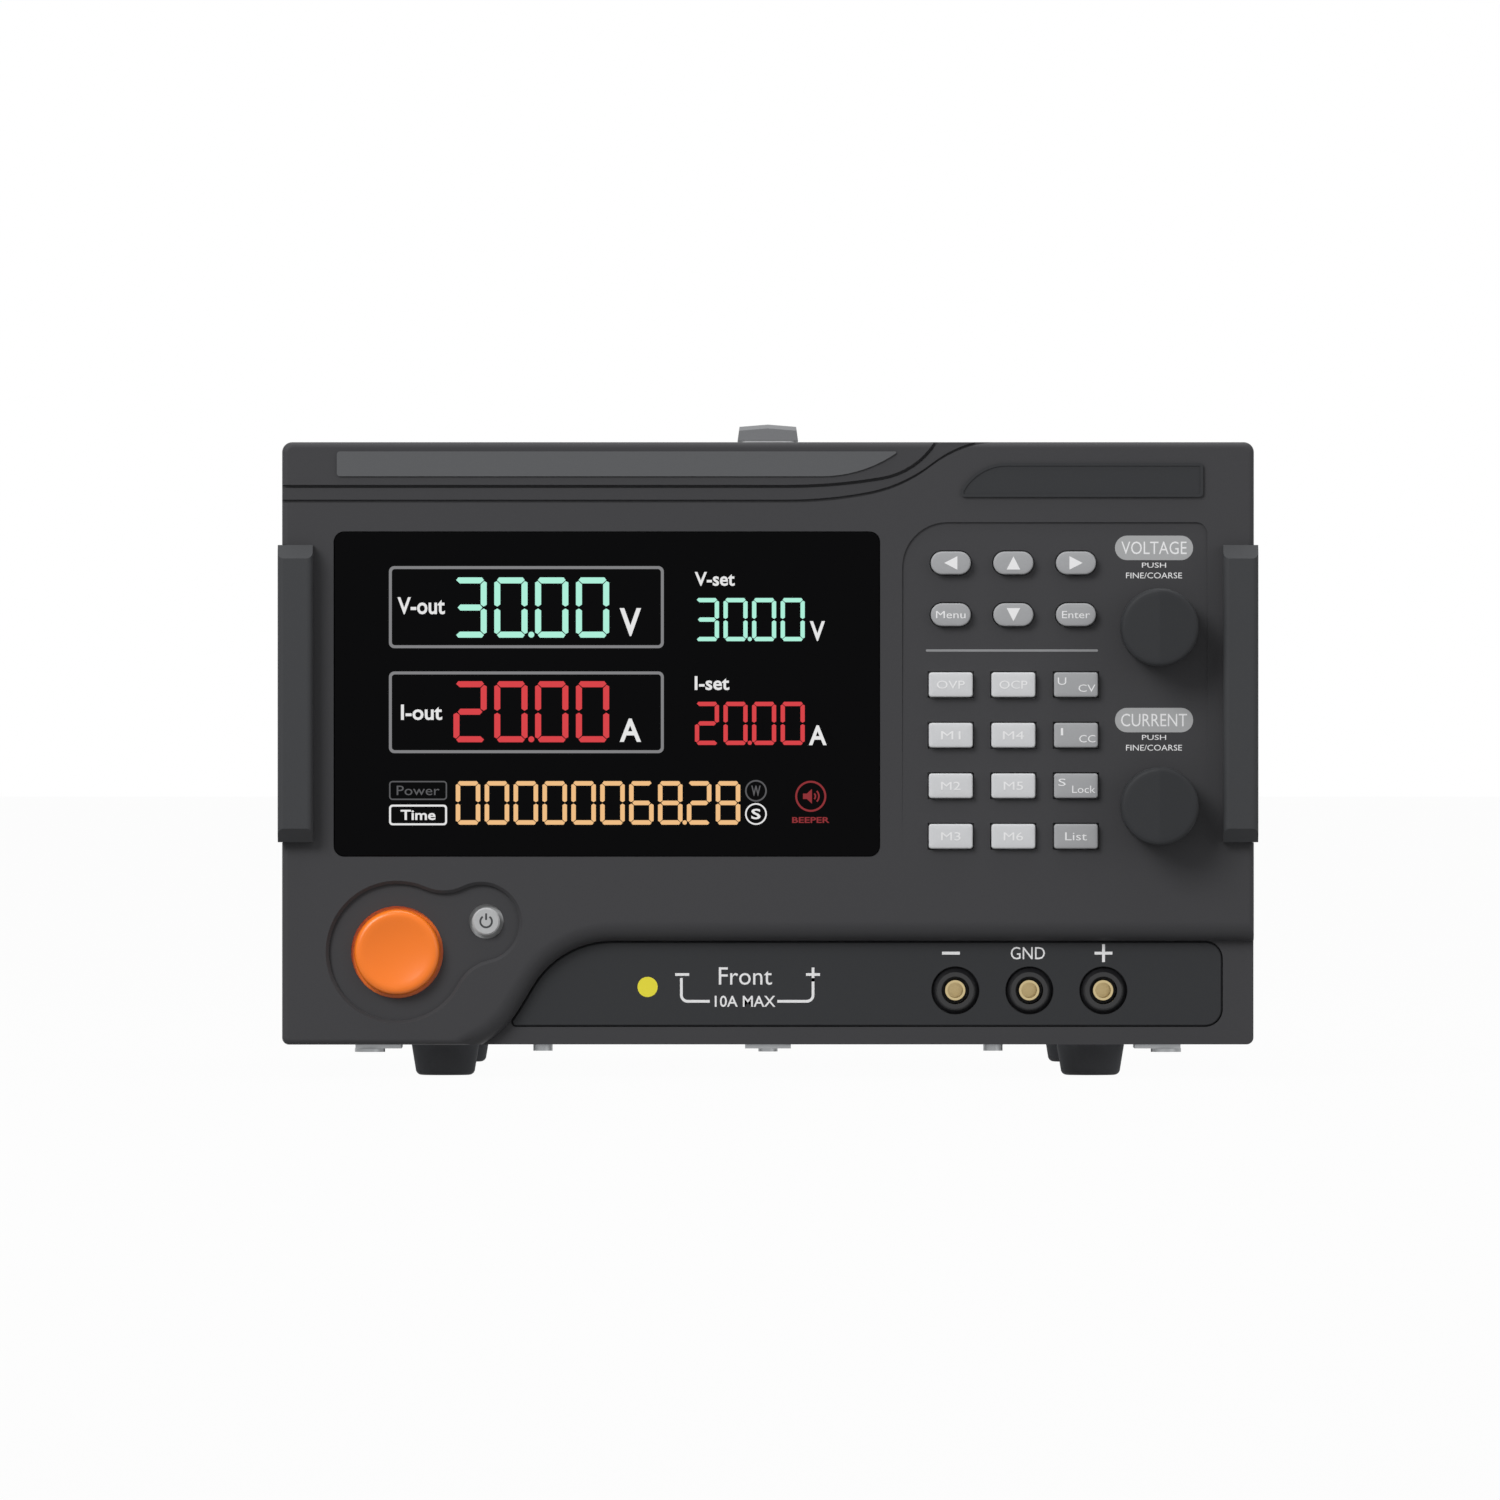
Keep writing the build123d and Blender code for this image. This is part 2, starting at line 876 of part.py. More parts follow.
# Key cap on a flange that holds it behind the face, with a stem that reaches towards its switch
def key_piece(outline, x, z):
    flange_front = bezel_face + flange_gap
    flange_back = flange_front + key_flange_sheet
    cap = prism(outline(x, z), -key_stand, flange_front + weld)
    cap = chamfer(front_face(cap).edges(), key_edge)
    frame = outline(x, z, key_gap + key_flange).bounding_box().size
    flange = prism(Pos(x, z) * Rectangle(frame.X, frame.Y), flange_front, flange_back)
    stem_back = board_front - switch_height - switch_gap - key_travel
    stem = prism(Pos(x, z) * Rectangle(key_stem, key_stem), flange_back - weld, stem_back)
    return cap + flange + stem


def switch_places():
    places = [(x, z) for _, x, z in key_places().values()]
    return places + [(power_x, power_z), (output_x, output_z)]


# L-shaped board behind the face, with a switch behind every key and button
def front_board():
    left = -half_width + board_margin
    step = base + board_step_rise
    outline = rectangle(left, -left, step, board_top_z)
    outline += rectangle(left, -half_width + board_step_margin, base + board_bottom, step + past)
    board = prism(outline, board_front, board_back)
    for z in knob_z:
        board -= rod(knob_x, z, bush_radius + 2 * bush_gap, board_front - past, board_back + past)
    for x, z in switch_places():
        switch = Pos(x, z) * Rectangle(switch_width, switch_width)
        board += prism(switch, board_front - switch_height, board_front + weld)
    return board


# Encoder housing with its bush, the room for the shaft's collar and the hole for the push switch
def encoder_bodies():
    pieces = []
    back = board_back + encoder_depth
    seat = board_back + encoder_front
    for z in knob_z:
        body = prism(Pos(knob_x, z) * Rectangle(encoder_width, encoder_width), board_back, back)
        body += rod(knob_x, z, bush_radius, bush_recess, board_back + weld)
        body -= rod(knob_x, z, shaft_radius + shaft_gap, bush_recess - past, seat + weld)
        body -= rod(knob_x, z, shaft_collar_radius + 2 * shaft_gap, seat, back - plunger_rest)
        pin_hole = plunger_pin_radius + 2 * shaft_gap
        body -= rod(knob_x, z, pin_hole, back - plunger_rest - weld, back + past)
        pieces.append(body)
    return pieces


# Knob cap with two gently sloped front faces that meet in an upright ridge
def knob_cap(z):
    front = -knob_stand
    back = -knob_gap
    cap = rod(0, 0, knob_radius, front, back)
    cap = chamfer(front_face(cap).edges(), knob_rim)
    cap -= rod(0, 0, knob_radius - knob_wall, front + knob_roof, back + past)
    slopes = make_face(
        Polyline(
            (-knob_radius, front - past),
            (-knob_radius, front + knob_ridge),
            (0, front),
            (knob_radius, front + knob_ridge),
            (knob_radius, front - past),
            close=True,
        )
    )
    cap -= extrude(slopes, knob_radius, both=True)
    cap += rod(0, 0, knob_hub_radius, front + knob_roof - weld, back)
    cap -= rod(0, 0, shaft_radius, back - shaft_grip, back + past)
    return Pos(knob_x, 0, z) * cap


# Shaft of the encoder, with the collar that keeps it in the body
def encoder_shaft(z):
    collar_front = board_back + encoder_front + shaft_gap
    shaft = rod(knob_x, z, shaft_radius, -knob_gap - shaft_grip, collar_front + shaft_collar)
    return shaft + rod(knob_x, z, shaft_collar_radius, collar_front, collar_front + shaft_collar)


def encoder_plunger(z):
    front = board_back + encoder_front + shaft_gap + shaft_collar
    disc = rod(knob_x, z, shaft_collar_radius, front, front + plunger_disc)
    return disc + rod(knob_x, z, plunger_pin_radius, front, front + plunger_disc + plunger_pin)


# Round button with a chamfered rim and a hollow face
def output_button():
    front = -output_stand
    flange_front = bezel_face + flange_gap
    flange_back = flange_front + key_flange_sheet
    stem_back = board_front - switch_height - switch_gap - output_travel
    cap = rod(output_x, output_z, output_radius, front, flange_back)
    cap = chamfer(front_face(cap).edges(), output_chamfer)
    dish_radius = output_radius - output_chamfer - output_lip
    ball = (dish_radius**2 + output_dish**2) / (2 * output_dish)
    cap -= Pos(output_x, front + output_dish - ball, output_z) * Sphere(ball)
    flange = rod(output_x, output_z, output_radius + output_flange, flange_front, flange_back)
    stem = rod(output_x, output_z, output_stem_radius, flange_back - weld, stem_back)
    return cap + flange + stem


def power_key():
    front = -power_stand
    flange_front = bezel_face + flange_gap
    flange_back = flange_front + key_flange_sheet
    stem_back = board_front - switch_height - switch_gap - power_travel
    cap = rod(power_x, power_z, power_radius, front, flange_back)
    cap = chamfer(front_face(cap).edges(), power_edge)
    flange = rod(power_x, power_z, power_radius + power_flange, flange_front, flange_back)
    stem = prism(Pos(power_x, power_z) * Rectangle(key_stem, key_stem), flange_back - weld, stem_back)
    return cap + flange + stem


# Corner guards: a proud front leg and a thin leg that runs back along the side
def side_grips():
    bottom, ceiling = grip_span()
    outer = half_width + grip_proud
    inner = outer - grip_width
    seat = half_width - grip_seat
    outline = Polyline(
        (inner, 0),
        (inner, -grip_stand),
        (outer, -grip_stand),
        (outer, grip_reach),
        (seat, grip_reach),
        (seat, 0),
        close=True,
    )
    grip = column(make_face(outline), bottom, ceiling)
    grip = chamfer(front_face(grip).edges().filter_by(Axis.X), grip_chamfer)
    grip = fillet(front_face(grip).edges().filter_by(Axis.Z), grip_round)
    return [grip, mirror(grip, Plane.YZ)]


# End cap of the handle, ridged along its top and closed at its outer end
def handle_cap_piece(front, outward):
    bottom = cover_top + handle_pad
    half = handle_width / 2
    half_top = handle_top_width / 2
    shoulder = bottom + handle_rise
    outline = Polyline(
        (-half, bottom),
        (half, bottom),
        (half_top, shoulder),
        (0, shoulder + handle_ridge),
        (-half_top, shoulder),
        close=True,
    )
    back = front + handle_cap
    cap = prism(make_face(outline), front, back)
    slot = half - handle_cap_wall
    slot_front = front + handle_cap_end if outward < 0 else front - past
    slot_back = back + past if outward < 0 else back - handle_cap_end
    cap -= block(-slot, slot, slot_front, slot_back, bottom - past, bottom + strap_sheet + strap_gap)
    end = front_face(cap) if outward < 0 else back_face(cap)
    top_edges = end.edges().filter_by(lambda edge: edge.center().Z > bottom + handle_rise)
    return chamfer(top_edges, handle_cap_chamfer)


def handle_end_caps():
    rear_cap = handle_front + handle_span - handle_cap
    return [handle_cap_piece(handle_front, -1), handle_cap_piece(rear_cap, 1)]


# Strap that runs from cap to cap, with a raised rib to hold it by
def handle_strap():
    bottom = cover_top + handle_pad
    half = handle_width / 2 - handle_cap_wall - strap_gap
    front = handle_front + handle_cap_end + strap_gap
    back = handle_front + handle_span - handle_cap_end - strap_gap
    strap = block(-half, half, front, back, bottom, bottom + strap_sheet)
    middle = handle_front + handle_span / 2
    length = handle_span - 2 * (handle_cap + strap_rib_gap)
    outline = RectangleRounded(2 * (half - strap_rib_inset), length, strap_rib_corner)
    ceiling = bottom + strap_sheet + strap_rib
    return strap + column(Pos(0, middle) * outline, bottom + strap_sheet - weld, ceiling)


def handle_pads():
    pieces = []
    width = handle_width - 2 * pad_inset
    length = handle_cap - 2 * pad_inset
    for front in (handle_front, handle_front + handle_span - handle_cap):
        sheet = Pos(0, front + handle_cap / 2) * RectangleRounded(width, length, pad_corner)
        pieces.append(column(sheet, cover_top, cover_top + handle_pad))
    return pieces


def cover_outline(inset, corner):
    half = cover_x - inset
    ceiling = cover_top - inset
    sheet = rectangle(-half, half, base + cover_lift, ceiling)
    return fillet(sheet.vertices().group_by(Axis.Y)[-1], corner)


# Upright slots punched through both sides of the cover
def vent_slots():
    cuts = []
    for i in range(vent_count):
        front = vent_front + vent_pitch * i - vent_width / 2
        low = base + vent_rise - vent_length / 2
        cuts.append(block(-beyond, beyond, front, front + vent_width, low, low + vent_length))
    return cuts


# Folded cover: top and two sides in one sheet, with a bank of vents in each side
def top_cover():
    cover = prism(cover_outline(0, cover_bend), cover_front, case_depth)
    inner = cover_outline(cover_sheet, cover_bend - cover_sheet)
    cover -= prism(inner, cover_front - past, case_depth + past)
    half = cover_x - cover_sheet
    hem = base + cover_lift + cover_hem
    cover -= block(-half, half, cover_front - past, case_depth + past, base - past, hem)
    for cut in vent_slots():
        cover -= cut
    for side in (-1, 1):
        for depth in side_screw_depths():
            cover -= side_hole(side * cover_x, depth, side_screw_z, screw_hole)
    return cover


def side_screw_depths():
    return [side_screw_front, side_screw_front + 2 * side_screw_pitch]


# Floor tray with upright side flanges, standoffs, and tongues joggled down under the front moulding
def bottom_chassis():
    tray = block(-inner_x, inner_x, cover_front, rear_face, base, floor_top)
    for side in (-1, 1):
        outer = side * inner_x
        inner = side * (inner_x - chassis_sheet)
        flange_back = rear_face - chassis_flange_end
        tray += side_block(outer, inner, cover_front, flange_back, base, floor_top + chassis_flange)
        for depth in side_screw_depths():
            tray -= side_hole(outer, depth, side_screw_z, screw_hole)
    for x, depth in standoff_places():
        tray += column(Pos(x, depth) * Circle(standoff_radius), floor_top - weld, main_board_z)

    # Tongues; the middle screw is sunk into its tongue, the outer ones sit on theirs
    tongue_x = half_width - tongue_margin
    half = tongue_width / 2
    tongue_front = cover_front - tongue_reach
    tongue_back = cover_front + tongue_lap
    for x in (-tongue_x, 0, tongue_x):
        tray += block(x - half, x + half, tongue_front, tongue_back, base - tongue_sheet, base)
    low = base - tongue_sheet - past
    for x, depth in tongue_screws() + [(0, tongue_screw_depth)]:
        tray -= column(Pos(x, depth) * Circle(screw_hole), low, base + past)
    sunk = Pos(0, tongue_screw_depth) * Circle(pan_head_radius + screw_gap)
    return tray - column(sunk, low, base - tongue_sheet + centre_head_seat)


def standoff_places():
    left = main_board_shift - main_board_width / 2 + standoff_inset
    right = main_board_shift + main_board_width / 2 - standoff_inset
    front = main_board_front + standoff_inset
    back = main_board_front + main_board_length - standoff_inset
    return [(x, depth) for x in (left, right) for depth in (front, back)]


def tongue_screws():
    tongue_x = half_width - tongue_margin + tongue_screw_shift
    return [(-tongue_x, tongue_screw_depth), (tongue_x, tongue_screw_depth)]


def edge_screw_places():
    return [x for x, depth in tongue_screws()] + [-edge_screw_spread, 0, edge_screw_spread]


# Rear sheet with a forward flange along its top, and openings for the fan, inlet and posts
def rear_panel():
    ceiling = cover_top - cover_sheet - seam_gap
    sheet = rectangle(-inner_x, inner_x, floor_top, ceiling)
    sheet = fillet(sheet.vertices().group_by(Axis.Y)[-1], cover_bend - cover_sheet)
    panel = prism(sheet, rear_inner, rear_face)
    end = inner_x - rear_flange_end
    panel += block(-end, end, rear_inner - rear_flange, rear_inner + weld, ceiling - rear_sheet, ceiling)
    inlet = Pos(inlet_x, inlet_z) * Rectangle(
        inlet_body_width + 2 * inlet_gap, inlet_body_height + 2 * inlet_gap
    )
    holes = [inlet, Pos(fan_x, fan_z) * Circle(fan_bore)]
    holes += [Pos(x, z) * Circle(screw_hole) for x, z in fan_holes()]
    holes += [Pos(x, post_z) * Circle(post_neck_radius + post_neck_gap) for x in post_x]
    for hole in holes:
        panel -= prism(hole, rear_inner - past, rear_face + past)
    return panel


def fan_holes():
    half = fan_hole_spacing / 2
    return [(fan_x + i * half, fan_z + j * half) for i in (-1, 1) for j in (-1, 1)]


def feet():
    pieces = []
    for x, depth in foot_places:
        foot = Pos(x, depth, foot_height / 2) * Cone(foot_bottom_radius, foot_top_radius, foot_height)
        pieces.append(chamfer(foot.edges().sort_by(Axis.Z)[0], foot_chamfer))
    return pieces


# Screw with its head below the origin and its shank above it
def screw(head_radius, head):
    cap = column(Circle(head_radius), -head, 0)
    return cap + column(Circle(flange_shank_radius), -weld, flange_shank)


def flange_screws():
    piece = screw(flange_head_radius, flange_head)
    pieces = [Pos(x, depth, base - tongue_sheet) * piece for x, depth in tongue_screws()]
    for side in (-1, 1):
        turned = Rot(0, -90 * side, 0) * piece
        pieces += [Pos(side * cover_x, depth, side_screw_z) * turned for depth in side_screw_depths()]
    return pieces


def case_screws():
    piece = screw(pan_head_radius, pan_head)
    pieces = [Pos(x, tongue_screw_depth, base) * piece for x in (-edge_screw_spread, edge_screw_spread)]
    pieces.append(Pos(0, tongue_screw_depth, base - tongue_sheet + centre_head_seat) * piece)
    turned = Rot(90, 0, 0) * piece
    return pieces + [Pos(x, rear_face + guard_wire, z) * turned for x, z in fan_holes()]


def power_board():
    left = main_board_shift - main_board_width / 2
    back = main_board_front + main_board_length
    return block(left, left + main_board_width, main_board_front, back, main_board_z, main_board_top)


# Ferrite core on its bobbin, with the winding showing on both sides
def transformer():
    x = main_board_shift + transformer_shift
    middle = transformer_front + transformer_length / 2
    floor = main_board_top
    ceiling = floor + transformer_height
    half = transformer_width / 2
    half_core = core_length / 2
    core = block(x - half, x + half, middle - half_core, middle + half_core, floor, ceiling)
    inner = half - core_post
    winding = block(
        x - inner,
        x + inner,
        transformer_front,
        transformer_front + transformer_length,
        floor + core_post / 2,
        ceiling - core_post / 2,
    )
    return core + fillet(winding.edges().filter_by(Axis.Z), winding_corner)


# Four cans standing in two rows
def capacitors():
    pieces = []
    ceiling = main_board_top + capacitor_height
    for row in (0, 1):
        for place_in_row in (0, 1):
            x = main_board_shift + capacitor_shift + capacitor_pitch * place_in_row
            depth = capacitor_front + capacitor_pitch * row
            pieces.append(column(Pos(x, depth) * Circle(capacitor_radius), main_board_top, ceiling))
    return pieces


# Finned bars standing along both sides of the power board
def heatsinks():
    pieces = []
    back = sink_front + sink_length
    ceiling = main_board_top + sink_height
    first = main_board_top + sink_fin_margin
    step = (sink_height - 2 * sink_fin_margin - sink_fin) / (sink_fin_count - 1)
    for side in (-1, 1):
        edge = main_board_shift + side * (main_board_width / 2 - sink_inset)
        inner = edge - side * sink_base
        tip = inner - side * sink_fin_reach
        bar = side_block(edge, inner, sink_front, back, main_board_top, ceiling)
        for i in range(sink_fin_count):
            z = first + step * i
            bar += side_block(inner, tip, sink_front, back, z, z + sink_fin)
        pieces.append(bar)
    return pieces


# Square fan housing: round duct, motor base on four struts, and a bearing for the rotor's axle
def fan_frame():
    back = rear_inner
    frame = prism(rounded(fan_x, fan_z, fan_size, fan_size, fan_corner), fan_front, back)
    frame -= rod(fan_x, fan_z, fan_bore, fan_front - past, back + past)
    for x, z in fan_holes():
        frame -= rod(x, z, screw_hole, fan_front - past, back + past)
    for angle in (45, 135):
        strut = Rot(0, 0, angle) * Rectangle(2 * fan_bore + past, fan_strut)
        frame += prism(Pos(fan_x, fan_z) * strut, back - fan_base, back)
    frame += rod(fan_x, fan_z, fan_hub_radius, back - fan_base, back)
    bearing_front = fan_front + 2 * fan_base + fan_run_gap
    bearing_radius = fan_hub_radius - fan_hub_wall - fan_run_gap
    frame += rod(fan_x, fan_z, bearing_radius, bearing_front, back)
    axle_hole = fan_axle_radius + fan_axle_gap
    return frame - rod(fan_x, fan_z, axle_hole, bearing_front - past, back - fan_base)


# Hub cup with its axle and swept blades, trimmed to the round of the duct
def fan_rotor():
    front = fan_front + fan_base
    back = rear_inner - fan_base - fan_run_gap
    cup = rod(fan_x, fan_z, fan_hub_radius, front, back)
    cup -= rod(fan_x, fan_z, fan_hub_radius - fan_hub_wall, front + fan_base, back + past)
    cup += rod(fan_x, fan_z, fan_axle_radius, front + fan_base - weld, back - fan_run_gap)
    tip = fan_bore - fan_tip_gap
    sweep = rod(fan_x, fan_z, tip, front + fan_blade_end, back - fan_blade_end)
    sweep -= rod(fan_x, fan_z, fan_hub_radius - fan_hub_wall / 2, front, back)
    sheet = Box(fan_blade_sheet, back - front, tip + past)
    blade = Pos(0, 0, tip / 2) * Rot(0, 0, fan_blade_twist) * sheet
    for i in range(fan_blades):
        turned = Rot(0, 360 * i / fan_blades, 0) * blade
        cup += (Pos(fan_x, (front + back) / 2, fan_z) * turned) & sweep
    return cup


# Finger guard: rings on a cross of flat bars, with an ear at each screw
def fan_guard():
    length = fan_hole_spacing * math.sqrt(2)
    sheet = Rot(0, 0, 45) * Rectangle(length, guard_wire)
    sheet += Rot(0, 0, 135) * Rectangle(length, guard_wire)
    for radius in guard_radii:
        sheet += Circle(radius + guard_wire / 2) - Circle(radius - guard_wire / 2)
    guard = prism(Pos(fan_x, fan_z) * sheet, rear_face, rear_face + guard_wire)
    for x, z in fan_holes():
        guard += rod(x, z, guard_ear, rear_face, rear_face + guard_wire)
    for x, z in fan_holes():
        guard -= rod(x, z, screw_hole, rear_face - past, rear_face + guard_wire + past)
    return guard


# Plug cavity of a C14 inlet, with its two upper corners cut off
def cavity_outline():
    sheet = Pos(inlet_x, cavity_z) * Rectangle(cavity_width, cavity_height)
    return chamfer(sheet.vertices().group_by(Axis.Y)[-1], cavity_chamfer)


# One moulding for the plug cavity and the rocker's well, on a plate outside the rear panel
def mains_inlet():
    body_front = rear_face - inlet_body_depth
    floor = mouth - cavity_depth
    outline = Pos(inlet_x, inlet_z) * Rectangle(inlet_body_width, inlet_body_height)
    body = prism(outline, body_front, rear_face + weld)
    sheet = rounded(inlet_x, inlet_z, inlet_plate_width, inlet_plate_height, inlet_plate_corner)
    plate = prism(sheet, rear_face, mouth)
    body += chamfer(back_face(plate).edges(), inlet_edge)
    body -= prism(cavity_outline(), floor, mouth + past)
    for x, z in blade_places():
        body -= prism(Pos(x, z) * Rectangle(blade_width, blade_height), body_front - past, floor + past)
    well = Pos(inlet_x, rocker_z) * Rectangle(
        rocker_width + 2 * rocker_gap, rocker_height + 2 * rocker_gap
    )
    body -= prism(well, mouth - rocker_depth, mouth + past)
    reach = rocker_width / 2 + rocker_pin_reach + rocker_gap
    pin = Circle(rocker_pin_radius + rocker_pin_gap)
    pin = Plane.YZ.offset(inlet_x) * Pos(rocker_depth_axis, rocker_z) * pin
    return body - extrude(pin, reach, both=True)


def blade_places():
    low = cavity_z - blade_offset
    high = cavity_z + blade_offset
    return [(inlet_x - blade_spread, low), (inlet_x + blade_spread, low), (inlet_x, high)]


def inlet_pins():
    front = rear_face - inlet_body_depth - blade_tail
    back = mouth - cavity_depth + blade_length
    pieces = []
    for x, z in blade_places():
        outline = Pos(x, z) * Rectangle(blade_width - stud_fit, blade_height - stud_fit)
        blade = prism(outline, front, back)
        pieces.append(chamfer(back_face(blade).edges(), blade_edge))
    return pieces


# Rocker with two flat faces that meet at its middle, resting tipped to one side
def mains_rocker():
    half = rocker_height / 2
    end = half - rocker_lip
    heel = half - rocker_heel
    rise = rocker_pivot + 2 * half * math.tan(math.radians(rocker_tilt))
    outline = Polyline(
        (-rocker_pivot - rocker_root, 0),
        (-rocker_pivot, heel),
        (rocker_pivot - rocker_lip, end),
        (rise, end),
        (rocker_pivot + rocker_valley, 0),
        (rise, -end),
        (rocker_pivot - rocker_lip, -end),
        (-rocker_pivot, -heel),
        close=True,
    )
    body = extrude(Plane.YZ * make_face(outline), rocker_width / 2, both=True)
    reach = rocker_width / 2 + rocker_pin_reach
    pin = extrude(Plane.YZ * Circle(rocker_pin_radius), reach, both=True)
    return Pos(inlet_x, rocker_depth_axis, rocker_z) * Rot(rocker_tilt, 0, 0) * (body + pin)


def post_bases():
    pieces = []
    front = rear_inner - post_neck
    back = rear_face + post_base
    for x in post_x:
        piece = rod(x, post_z, post_base_radius, rear_face, back)
        piece += rod(x, post_z, post_neck_radius, front, rear_face + weld)
        pieces.append(piece - rod(x, post_z, stud_radius + stud_fit, front - past, back + past))
    return pieces


# Stud of each post, and the nut behind the panel that holds it
def post_studs():
    pieces = []
    nut_back = rear_inner - post_neck
    nut_front = nut_back - stud_nut_sheet
    for x in post_x:
        pieces.append(rod(x, post_z, stud_radius, rear_face - stud_tail, rear_face + stud_stand))
        nut = prism(hexagon(x, post_z, stud_nut_width), nut_front, nut_back)
        pieces.append(nut - rod(x, post_z, stud_radius + stud_fit, nut_front - past, nut_back + past))
    return pieces


def post_washer(x):
    front = rear_face + post_base
    back = front + washer_sheet
    washer = rod(x, post_z, washer_radius, front, back)
    return washer - rod(x, post_z, stud_radius + stud_fit, front - past, back + past)


# Thumb nut with flutes round its grip
def post_nut(x):
    front = rear_face + post_base + washer_sheet
    back = front + thumb_length
    collar_back = front + thumb_collar
    grip = Circle(thumb_radius)
    flute = Pos(thumb_radius + thumb_flute_radius - thumb_flute_depth, 0) * Circle(thumb_flute_radius)
    for i in range(thumb_flutes):
        grip -= Rot(0, 0, 360 * i / thumb_flutes) * flute
    nut = rod(x, post_z, thumb_collar_radius, front, collar_back + weld)
    nut += prism(Pos(x, post_z) * grip, collar_back, back)
    return nut - rod(x, post_z, stud_radius + stud_fit, front - past, back + past)


def all_parts():
    parts = {
        "front_bezel": front_bezel(),
        "display_window": display_window(),
        "display_module": display_module(),
        "name_strip": name_strip(),
        "model_plate": model_plate(),
        "output_panel": output_panel(),
        "front_jacks": front_jacks(),
        "jack_contacts": jack_contacts(),
        "side_grips": side_grips(),
        "front_board": front_board(),
        "encoder_bodies": encoder_bodies(),
        "output_button": output_button(),
        "power_key": power_key(),
        "handle_strap": handle_strap(),
        "handle_end_caps": handle_end_caps(),
        "handle_pads": handle_pads(),
        "top_cover": top_cover(),
        "bottom_chassis": bottom_chassis(),
        "rear_panel": rear_panel(),
        "feet": feet(),
        "flange_screws": flange_screws(),
        "case_screws": case_screws(),
        "power_board": power_board(),
        "transformer": transformer(),
        "capacitors": capacitors(),
        "heatsinks": heatsinks(),
        "fan_frame": fan_frame(),
        "fan_rotor": fan_rotor(),
        "fan_guard": fan_guard(),
        "mains_inlet": mains_inlet(),
        "inlet_pins": inlet_pins(),
        "mains_rocker": mains_rocker(),
        "post_bases": post_bases(),
        "post_studs": post_studs(),
    }
    for name, (outline, x, z) in key_places().items():
        parts[name] = key_piece(outline, x, z)
    for name, z in zip(("voltage", "current"), knob_z):
        parts[name + "_knob"] = [knob_cap(z), encoder_shaft(z)]
        parts[name + "_plunger"] = encoder_plunger(z)
    for name, x in zip(("black", "red"), post_x):
        parts[name + "_post_washer"] = post_washer(x)
        parts[name + "_post_nut"] = post_nut(x)
    return parts


def save(name, piece):
    pieces = piece if isinstance(piece, list) else [piece]
    solids = [solid for each in pieces for solid in place(each).solids()]
    export_step(solids[0] if len(solids) == 1 else Compound(solids), "parts/" + name + ".step")
    print(name, len(solids), "solids")


os.makedirs("parts", exist_ok=True)
for part_name, part_piece in all_parts().items():
    save(part_name, part_piece)
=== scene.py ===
import json
import math
import bmesh
import bpy
import numpy as np
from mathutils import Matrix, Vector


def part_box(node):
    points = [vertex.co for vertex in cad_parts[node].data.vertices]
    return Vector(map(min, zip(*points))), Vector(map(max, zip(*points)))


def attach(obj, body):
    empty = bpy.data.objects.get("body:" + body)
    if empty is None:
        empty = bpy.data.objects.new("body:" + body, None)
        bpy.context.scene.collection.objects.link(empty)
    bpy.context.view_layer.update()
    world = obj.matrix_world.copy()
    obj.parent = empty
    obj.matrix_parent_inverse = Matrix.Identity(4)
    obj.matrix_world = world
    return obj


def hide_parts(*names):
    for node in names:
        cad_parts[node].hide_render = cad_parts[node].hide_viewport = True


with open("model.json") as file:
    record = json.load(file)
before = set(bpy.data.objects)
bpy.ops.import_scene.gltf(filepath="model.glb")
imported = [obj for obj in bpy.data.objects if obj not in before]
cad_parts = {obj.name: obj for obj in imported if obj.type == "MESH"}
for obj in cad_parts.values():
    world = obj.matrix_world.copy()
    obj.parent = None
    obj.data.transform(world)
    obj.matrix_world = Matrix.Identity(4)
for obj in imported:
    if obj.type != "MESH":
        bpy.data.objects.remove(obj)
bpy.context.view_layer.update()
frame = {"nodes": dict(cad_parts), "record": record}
bodies = frame["record"]["behaviour"]["bodies"]
bodyOfNode = {node: body for body, nodes in bodies.items() for node in nodes}
slotOfNode = {row["node"]: row["material_slot"] for row in frame["record"]["subparts"]}
print("frame loaded:", len(frame["nodes"]), "nodes")


# Small tools

def cornersOf(node):  # lowest and highest corner of a CAD node, in millimetres
    low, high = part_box(node)
    return np.array(low) * 1000, np.array(high) * 1000


def middleOf(node):
    low, high = cornersOf(node)
    return (low + high) / 2


def linearColour(code):  # sRGB hex to linear: c/12.92 below 0.04045, else ((c + 0.055)/1.055)^2.4
    value = np.array([int(code[i:i + 2], 16) for i in (1, 3, 5)]) / 255
    linear = np.where(value <= 0.04045, value / 12.92, ((value + 0.055) / 1.055) ** 2.4)
    return (*(float(v) for v in linear), 1.0)


def addNode(material, kind, inputs=None, **settings):  # one node with its settings, values and links
    node = material.node_tree.nodes.new(kind)
    for key, value in settings.items():
        setattr(node, key, value)
    for socket, value in (inputs or {}).items():
        if isinstance(value, bpy.types.NodeSocket):
            material.node_tree.links.new(value, node.inputs[socket])
        else:
            node.inputs[socket].default_value = value
    return node


def meshObject(name, vertices, faces, material, body, slotName, replaced=(), smoothAngle=32):
    mesh = bpy.data.meshes.new(name)  # vertices in millimetres, faces as lists of indices
    mesh.from_pydata((np.asarray(vertices) / 1000).tolist(), [], faces)
    return finishMesh(name, mesh, material, body, replaced, smoothAngle)


